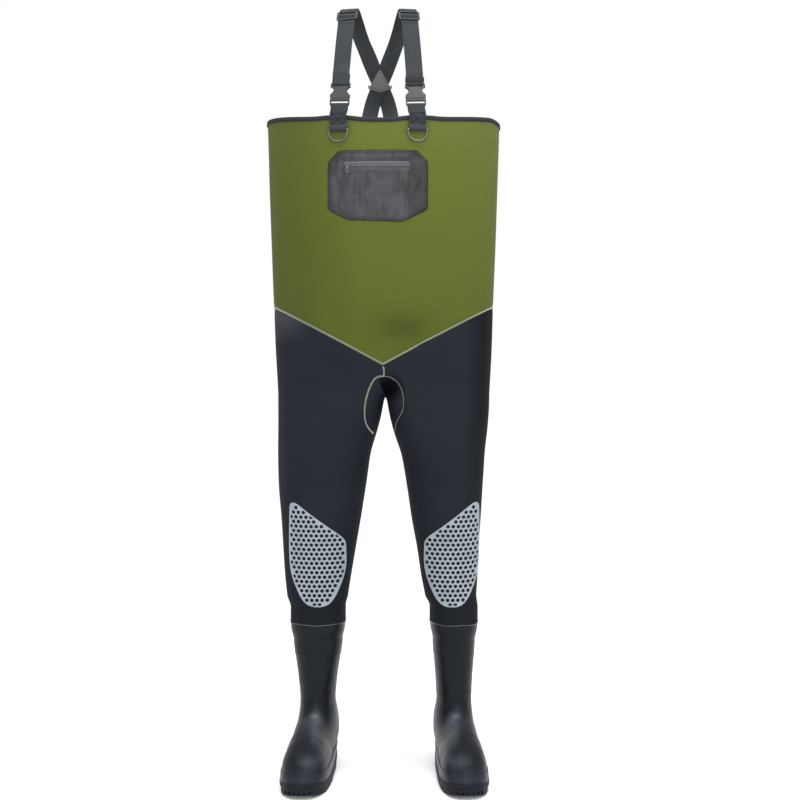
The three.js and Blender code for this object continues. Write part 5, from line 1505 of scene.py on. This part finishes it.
class Track:
    """The line of one brace, from its front tab over the shoulder to the back of the rim."""

    def __init__(self, side):
        sign = SIGN[side]
        front_x = CHEST_SHIFT + sign * STRAP_SPACING
        back_x = CHEST_SHIFT - sign * BACK_SPACING * STRAP_SPACING
        line = []
        for drop in (RING_DROP + 14, RING_DROP, RING_DROP / 2, 0):
            place, _ = seat(front_x, FRONT_RIM - max(drop, 2), -1, WEB_WIDTH)
            line.append([place[0], place[1], FRONT_RIM - drop])
        for a, d, r in BRACE:
            x = CHEST_SHIFT + sign * a * STRAP_SPACING
            line.append([x, d * CHEST_HALF_DEPTH, FRONT_RIM + r * STRAP_RISE])
        for drop in (0, BACK_TAB / 2, BACK_TAB):
            place, _ = seat(back_x - sign * drop * BACK_SPLAY, BACK_RIM - max(drop, 2), 1, WEB_WIDTH)
            line.append([place[0], place[1], BACK_RIM - drop])
        self.front_away = seat(front_x, FRONT_RIM - 2, -1, WEB_WIDTH)[1]
        self.back_away = seat(back_x, BACK_RIM - 2, 1, WEB_WIDTH)[1]
        self.line = through(line)
        self.reach_at = travelled(self.line)
        self.tangents = unit(np.gradient(self.line, axis=0))
        self.length = self.reach_at[-1]
        self.ring = self.reach(lambda p: p[2] >= FRONT_RIM - RING_DROP)
        self.rim = self.reach(lambda p: p[2] >= FRONT_RIM)
        self.low_bar = self.rim + BUCKLE_RISE + BAR / 2
        self.high_bar = self.low_bar + BUCKLE_HEIGHT - BAR
        self.buckle = (self.low_bar + self.high_bar) / 2
        self.slider = self.reach(lambda p: p[2] >= FRONT_RIM + STRAP_RISE * SLIDER_SHARE)
        self.cross = self.reach(lambda p: p[1] > 0 and sign * (p[0] - CHEST_SHIFT) <= 0)
        self.back_rim = self.length - BACK_TAB

    def place(self, distance):
        return np.array([np.interp(distance, self.reach_at, self.line[:, k]) for k in range(3)])

    def reach(self, test):
        distance = 0.0
        while not test(self.place(distance)):
            distance += TRACK_STEP
        return distance

    def at(self, distance):
        """The frame of the webbing there: its place, and the ways along, across and away from it."""
        share = min(1, max(0, distance / self.length))
        distance = share * self.length
        along = unit(np.array([np.interp(distance, self.reach_at, self.tangents[:, k]) for k in range(3)]))
        up = np.array([0.0, 0.0, 1.0])
        if share < CREST:
            away = mix(self.front_away, up, smooth((share - TURN_START) / (CREST - TURN_START)))
        else:
            away = mix(up, self.back_away, smooth((share - CREST) / CREST))
        across = unit(np.cross(along, away))
        away = unit(np.cross(across, along))
        return {"position": self.place(distance), "along": along, "across": across, "away": away}


def set_in(f, points, off=0.0):
    """Places of points that are given across, along and away in a frame."""
    return points @ np.stack([f["across"], f["along"], f["away"]]) + f["position"] + f["away"] * off


def on_frame(f, a, b):
    return f["position"] + f["along"] * a + f["away"] * b, f["across"]


def on_track(track, distance, off):
    return on_frame(track.at(distance), 0, off)


def round_bar(f, a, b, radius, start, upward, steps=12):
    """A half turn of webbing about a bar, from one face to the other."""
    turn = 1 if upward else -1
    angles = np.arange(steps + 1) / steps * math.pi
    return [on_frame(f, a + turn * radius * math.sin(t), b + start * radius * math.cos(t)) for t in angles]


WEB_LAYER = WEB_THICKNESS + GAP
LOW_OFFSET = GAP + WEB_THICKNESS / 2
OVER_BINDING = GAP * 3 + BINDING_THICKNESS + WEB_THICKNESS / 2
RING_LOOP = RING_WIRE + GAP + WEB_THICKNESS / 2
BAR_LOOP = BAR * math.sqrt(0.5) + GAP + WEB_THICKNESS / 2
LINE_OFFSET = OVER_BINDING + WEB_LAYER
LAYER_OFFSET = WEB_LAYER / 2 + GAP * 2
BUCKLE_OFFSET = LINE_OFFSET + WEB_LAYER - BAR_LOOP
BAR_REACH = (BUCKLE_HEIGHT - BAR) / 2
SOFT_EDGE = 0.8
SEWN_HALF_WIDTH = 13.5


def band(name, path, stands_for):
    """Webbing through a row of places, with rounded edges and a woven face."""
    places, across = (np.array(part) for part in zip(*path))
    before, after = np.roll(places, 1, 0), np.roll(places, -1, 0)
    before[0], after[-1] = places[0], places[-1]
    along = unit(after - before)
    normal = unit(np.cross(across, along))
    side = unit(np.cross(along, normal))
    w, t = WEB_WIDTH / 2, WEB_THICKNESS / 2
    flat = w - SOFT_EDGE
    half = [(-flat, -t), (0, -t), (flat, -t), (w - 0.2, -t * 0.6), (w, 0), (w - 0.2, t * 0.6)]
    outline = half + [(-a, -b) for a, b in half]
    skin = Skin()
    numbers = skin.sheet([
        np.array([place + s * a + n * b for a, b in outline]) for place, s, n in zip(places, side, normal)
    ])
    skin.faces += [numbers[0][::-1].tolist(), numbers[-1].tolist()]
    half_way = len(places) // 2
    skin.done().face(numbers[half_way][7], normal[half_way])
    uv = [(a + w, reach) for reach in travelled(places) for a, _ in outline]
    piece(name, skin.points, skin.faces, webbing, "webbing", stands_for, sharp=50, uv=uv)


def finer(path, step=2.5):
    """More places along a route, between those it has."""
    out = []
    for (p, a), (q, b) in zip(path, path[1:]):
        count = max(1, int(np.linalg.norm(q - p) / step))
        out += [(mix(p, q, i / count), unit(mix(a, b, i / count))) for i in range(count)]
    return out + [path[-1]]


def sewn_box(name, track, edge, offsets, low, high, radius, lift):
    """A sewn box with a cross on a band, whose height changes over an edge of the track."""
    half = SEWN_HALF_WIDTH

    def spot(u, distance):
        f = track.at(distance)
        off = np.interp(distance, edge, offsets) + WEB_THICKNESS / 2
        return f["position"] + f["across"] * u + f["away"] * off, f["away"]

    box = [(-half, low), (half, low), (half, high), (-half, high), (-half, low)]
    for k, line in enumerate((box, [box[0], box[2]], [box[1], box[3]])):
        places, normals = (np.array(part) for part in zip(*(spot(u, d) for u, d in along_path(line, 0.8))))
        piece(f"{name}_{k}", *dashes(places, normals, 2.6, 1.0, radius, lift), dark_thread, "webbing")


tracks = {side: Track(side) for side in SIDES}
# The frame of the crossing, square to the garment
cross_frame = tracks["right"].at(tracks["right"].cross - PATCH_RISE)
cross_frame["position"] = cross_frame["position"] + cross_frame["away"] * LINE_OFFSET
cross_frame["position"][0] = CHEST_SHIFT
_, away_y, away_z = cross_frame["away"] = unit(cross_frame["away"] * [0, 1, 1])
cross_frame["along"] = np.array([0, -away_z, away_y])
cross_frame["across"] = np.cross(cross_frame["along"], cross_frame["away"])


def front_tab(side):
    """Webbing sewn to the bib, down round the D-ring, up over the rim and round the buckle's low bar."""
    track = tracks[side]
    ring, buckle = track.at(track.ring), track.at(track.buckle)
    low, below_rim = -BAR_REACH, track.rim - BINDING_DEPTH
    double = LOW_OFFSET + WEB_LAYER + GAP
    path = [on_track(track, below_rim - 3, LOW_OFFSET), on_frame(ring, 3, LOW_OFFSET)]
    path += round_bar(ring, 0, LOW_OFFSET + RING_LOOP, RING_LOOP, -1, False)
    path += [on_frame(ring, 4, LOW_OFFSET + RING_LOOP * 2), on_frame(ring, 11, double)]
    path += [on_track(track, below_rim - 2, double), on_track(track, below_rim + 3, LINE_OFFSET)]
    path += [on_track(track, track.rim + 3, LINE_OFFSET)]
    path += [on_frame(buckle, low - 9, BUCKLE_OFFSET + BAR_LOOP * 0.9)]
    path += [on_frame(buckle, low - 3, BUCKLE_OFFSET + BAR_LOOP)]
    path += round_bar(buckle, low, BUCKLE_OFFSET, BAR_LOOP, 1, True)
    path += [on_frame(buckle, low - 3, BUCKLE_OFFSET - BAR_LOOP)]
    path += [on_frame(buckle, low - 9, BUCKLE_OFFSET - BAR_LOOP * 0.9)]
    path += [on_track(track, track.rim + 4, LINE_OFFSET - WEB_LAYER)]
    band(f"tab_{side}", finer(path), [f"front_tab_{side}"])
    edge, offsets = (below_rim - 2, below_rim + 3), (double, LINE_OFFSET)
    sewn_box(f"tab_stitches_{side}", track, edge, offsets, track.rim - 18, track.rim + 5, 0.55, 0.3)


def long_strap(side, layer):
    """Webbing from the buckle's high bar, through the tri-glide and over the crossing, to the back."""
    track = tracks[side]
    buckle, slider = track.at(track.buckle), track.at(track.slider)
    tail = 22
    path = [on_frame(buckle, BAR_REACH + tail, BUCKLE_OFFSET - BAR_LOOP)]
    path += round_bar(buckle, BAR_REACH, BUCKLE_OFFSET, BAR_LOOP, -1, False)
    path += [on_frame(buckle, BAR_REACH + tail, BUCKLE_OFFSET + BAR_LOOP)]
    reach, ends = (SLIDER_HEIGHT - BAR) / 2, 1.5
    clear = reach * (ends + 0.4)
    for distance in np.linspace(track.high_bar + tail + 20, track.slider - clear, 25):
        path.append(on_track(track, distance, LINE_OFFSET))
    for place in np.linspace(-ends, ends, 49):
        path.append(on_frame(slider, place * reach, LINE_OFFSET + BAR_LOOP * math.cos(place * math.pi)))
    middle = track.cross - PATCH_RISE

    def settled(distance):
        """On the track, but level with the patch near the crossing, and clear of the other strap."""
        f = track.at(distance)
        gap = abs(distance - middle)
        level = 1 - smooth((gap - PATCH_HEIGHT * 0.62) / (PATCH_HEIGHT * 1.5))
        apart = 1 - smooth((gap - PATCH_HEIGHT * 1.25) / PATCH_HEIGHT)
        position = f["position"] + f["away"] * LINE_OFFSET
        height = (position - cross_frame["position"]) @ cross_frame["away"]
        away = unit(mix(f["away"], cross_frame["away"], level))
        position = position - cross_frame["away"] * height * level + away * layer * LAYER_OFFSET * apart
        return position, unit(np.cross(f["along"], away))

    path += [settled(distance) for distance in np.linspace(track.slider + clear, track.back_rim - 14, 91)]
    edge = (track.back_rim + BINDING_DEPTH + 2, track.back_rim + BINDING_DEPTH + 7)
    path += [on_track(track, track.back_rim - 3, OVER_BINDING), on_track(track, edge[0], OVER_BINDING)]
    path += [on_track(track, edge[1], LOW_OFFSET), on_track(track, track.length - 1, LOW_OFFSET)]
    band(f"brace_{side}", finer(path), [f"strap_{side}"])
    low, high = track.back_rim + 3, track.length - 5
    sewn_box(f"back_stitches_{side}", track, edge, (OVER_BINDING, LOW_OFFSET), low, high, 0.34, 0.15)


def ring_piece(side):
    half = WEB_WIDTH / 2 + GAP * 2 + RING_WIRE
    t = np.linspace(0, math.pi, 40)
    bow = stack(half * np.cos(t), -RING_HEIGHT * np.abs(np.sin(t)) ** 0.8, 0)
    path = np.concatenate([bow, stack(np.linspace(-half * 0.9, half * 0.9, 12), 0, 0)])
    points, faces = tube(path, RING_WIRE, 12, np.tile([0.0, 0.0, 1.0], (len(path), 1)), closed=True)
    points = set_in(tracks[side].at(tracks[side].ring), points, LOW_OFFSET + RING_LOOP)
    body = f"ring_{side}"
    piece(f"ring_{side}_wire", points, faces, ring_look, "ring_metal", [f"d_ring_{side}"], body)


for side in SIDES:
    front_tab(side)
    long_strap(side, -SIGN[side])
    ring_piece(side)
    relook(frame["nodes"][f"buckle_socket_{side}"].data, buckle_look)
    relook(frame["nodes"][f"buckle_plug_{side}"].data, buckle_look)
    relook(frame["nodes"][f"strap_slider_{side}"].data, slider_look)
    # The lip of the socket that closes the slot under the webbing
    lip = box_points((35, 3.5, 2.4), (0, BAR_REACH - 5.65, BUCKLE_OFFSET))
    lip = set_in(tracks[side].at(tracks[side].buckle), lip)
    piece(f"buckle_lip_{side}", lip, BOX_FACES, buckle_look, "buckle_plastic")

# An elastic keeper that holds the strap's end above one buckle

w, t, r = WEB_WIDTH / 2 + 1.0, BAR_LOOP + WEB_THICKNESS / 2 + 0.9, 2.0
loop = []
for cx, cz, start in ((w - r, t - r, 0), (-w + r, t - r, 90), (-w + r, -t + r, 180), (w - r, -t + r, 270)):
    for angle in np.radians(start + np.arange(0, 91, 15)):
        loop.append((cx + r * math.cos(angle), cz + r * math.sin(angle)))
loop = np.array(loop)
out = unit(np.roll(loop, -1, 0) - np.roll(loop, 1, 0))
out = stack(out[:, 1], -out[:, 0])
shape = ((0.0, -4.5), (0.55, -4.2), (0.6, 0), (0.55, 4.2), (0.0, 4.5), (-0.5, 4.2), (-0.5, -4.2))
left_buckle = tracks["left"].at(tracks["left"].buckle)
rings = []
for off, up in shape:
    u, v = (loop + out * off).T
    rings.append(set_in(left_buckle, stack(u, BAR_REACH + 9 + up, v + BUCKLE_OFFSET)))
keeper = Skin()
keeper.sheet(rings, True, closed=True)
keeper.done()
piece("strap_keeper", keeper.points, keeper.faces, keeper_look, "webbing", sharp=60)

# Patch where the braces cross, with ears folded round the straps


def flat_plate(outline, thickness, rim=0.5):
    """A plate with softly rounded edges, in across and along, about its middle plane."""
    side = [(rim * 2, thickness / 2), (rim * 0.3, thickness * 0.42), (0, 0)]
    skin = Skin()
    numbers = skin.sheet([
        stack(*inset_line(outline, outline.mean(0), inset).T, up)
        for inset, up in [(inset, -up) for inset, up in side] + side[1::-1]
    ])
    skin.faces += [numbers[0][::-1].tolist(), numbers[-1].tolist()]
    return skin.done()


def thread_in(name, slot, line, lift, away, step, *stitch):
    """Stitches along a flat line of the patch's own plane."""
    places = set_in(cross_frame, stack(*np.array(line, float).T, lift))
    path = along_path(places, step)
    thread = dashes(path, np.tile(away, (len(path), 1)), *stitch)
    piece(name, *thread, dark_thread, slot)


w, h = PATCH_WIDTH / 2, PATCH_HEIGHT / 2
EAR, EAR_THICKNESS, EAR_TILT = (3.6, 4.6), 1.6, 38
patch_off = -(LAYER_OFFSET + WEB_THICKNESS / 2 + GAP + PATCH_THICKNESS / 2)
top = [(w * 0.12, h * 1.04, 0.3), (-w * 0.12, h * 1.04, 0.3)]
outline = rounded([(w * 1.02, -h * 0.68, 0.16), *top, (-w * 1.02, -h * 0.68, 0.16), (0, -h * 1.1, 0.4)], 8)
plate = flat_plate(outline, PATCH_THICKNESS)
parts = [(plate.points, plate.faces)]
for sign in (-1, 1):
    corners = [(a * EAR[0], b * EAR[1], 0.3) for a, b in ((-1, -1), (1, -1), (1, 1), (-1, 1))]
    ear = flat_plate(rounded(corners, 5), EAR_THICKNESS)
    x, y, z = ear.points.T
    x, z = turned(x, z, math.radians(sign * EAR_TILT))
    parts.append((stack(x + sign * w * 0.97, y - h * 0.6, z + 1.6), ear.faces))
points, faces = joined(parts)
points = set_in(cross_frame, points, patch_off)
piece("cross_patch", points, faces, patch_look, "patch", ["back_patch"], sharp=50)
inner = outline.mean(0) + (outline - outline.mean(0)) * 0.84
lift = patch_off - PATCH_THICKNESS / 2
thread_in("patch_stitches", "patch", looped(inner), lift, -cross_frame["away"], 1.0, 2.4, 1.0, 0.3, 0.1)
for side in SIDES:
    # The straps are sewn together behind the patch
    line = [(-12 * SIGN[side], -14), (12 * SIGN[side], 14)]
    lift = LAYER_OFFSET + WEB_THICKNESS / 2
    away = cross_frame["away"]
    thread_in(f"cross_stitches_{side}", "webbing", line, lift, away, 0.8, 2.6, 1.0, 0.34, 0.15)

# Floor and light

REACH = 60.0
mesh = bpy.data.meshes.new("floor")
corners = [(x * REACH, y * REACH, 0) for x, y in ((-1, -1), (1, -1), (1, 1), (-1, 1))]
mesh.from_pydata(corners, [], [[0, 1, 2, 3]])
floor = bpy.data.objects.new("floor", mesh)
relook(mesh, floor_look)
scene.collection.objects.link(floor)


def area(name, place, target, size, power_w):
    light = bpy.data.lights.new(name, "AREA")
    light.shape = "RECTANGLE"
    light.size, light.size_y = size
    light.energy = power_w
    obj = bpy.data.objects.new(name, light)
    obj.location = place
    obj.rotation_euler = (Vector(target) - Vector(place)).to_track_quat("-Z", "Y").to_euler()
    scene.collection.objects.link(obj)


area("key", (2.2, -2.2, 2.7), (0, 0, 0.9), (1.6, 1.6), 20)
area("front", (0.25, -2.5, 3.0), (0, -0.1, 0.5), (1.1, 0.8), 18)
area("fill", (0.15, -2.7, 1.45), (0, 0, 1.4), (1.2, 0.8), 15)
area("top", (0.05, -0.6, 3.2), (0.05, -0.55, 0), (2.6, 0.9), 50)

studio = bpy.data.worlds.new("studio")
studio.use_nodes = True
studio.node_tree.nodes["Background"].inputs["Color"].default_value = (1, 1, 1, 1)
studio.node_tree.nodes["Background"].inputs["Strength"].default_value = 1.0
scene.world = studio
scene.view_settings.view_transform = "Standard"
scene.view_settings.look = "None"
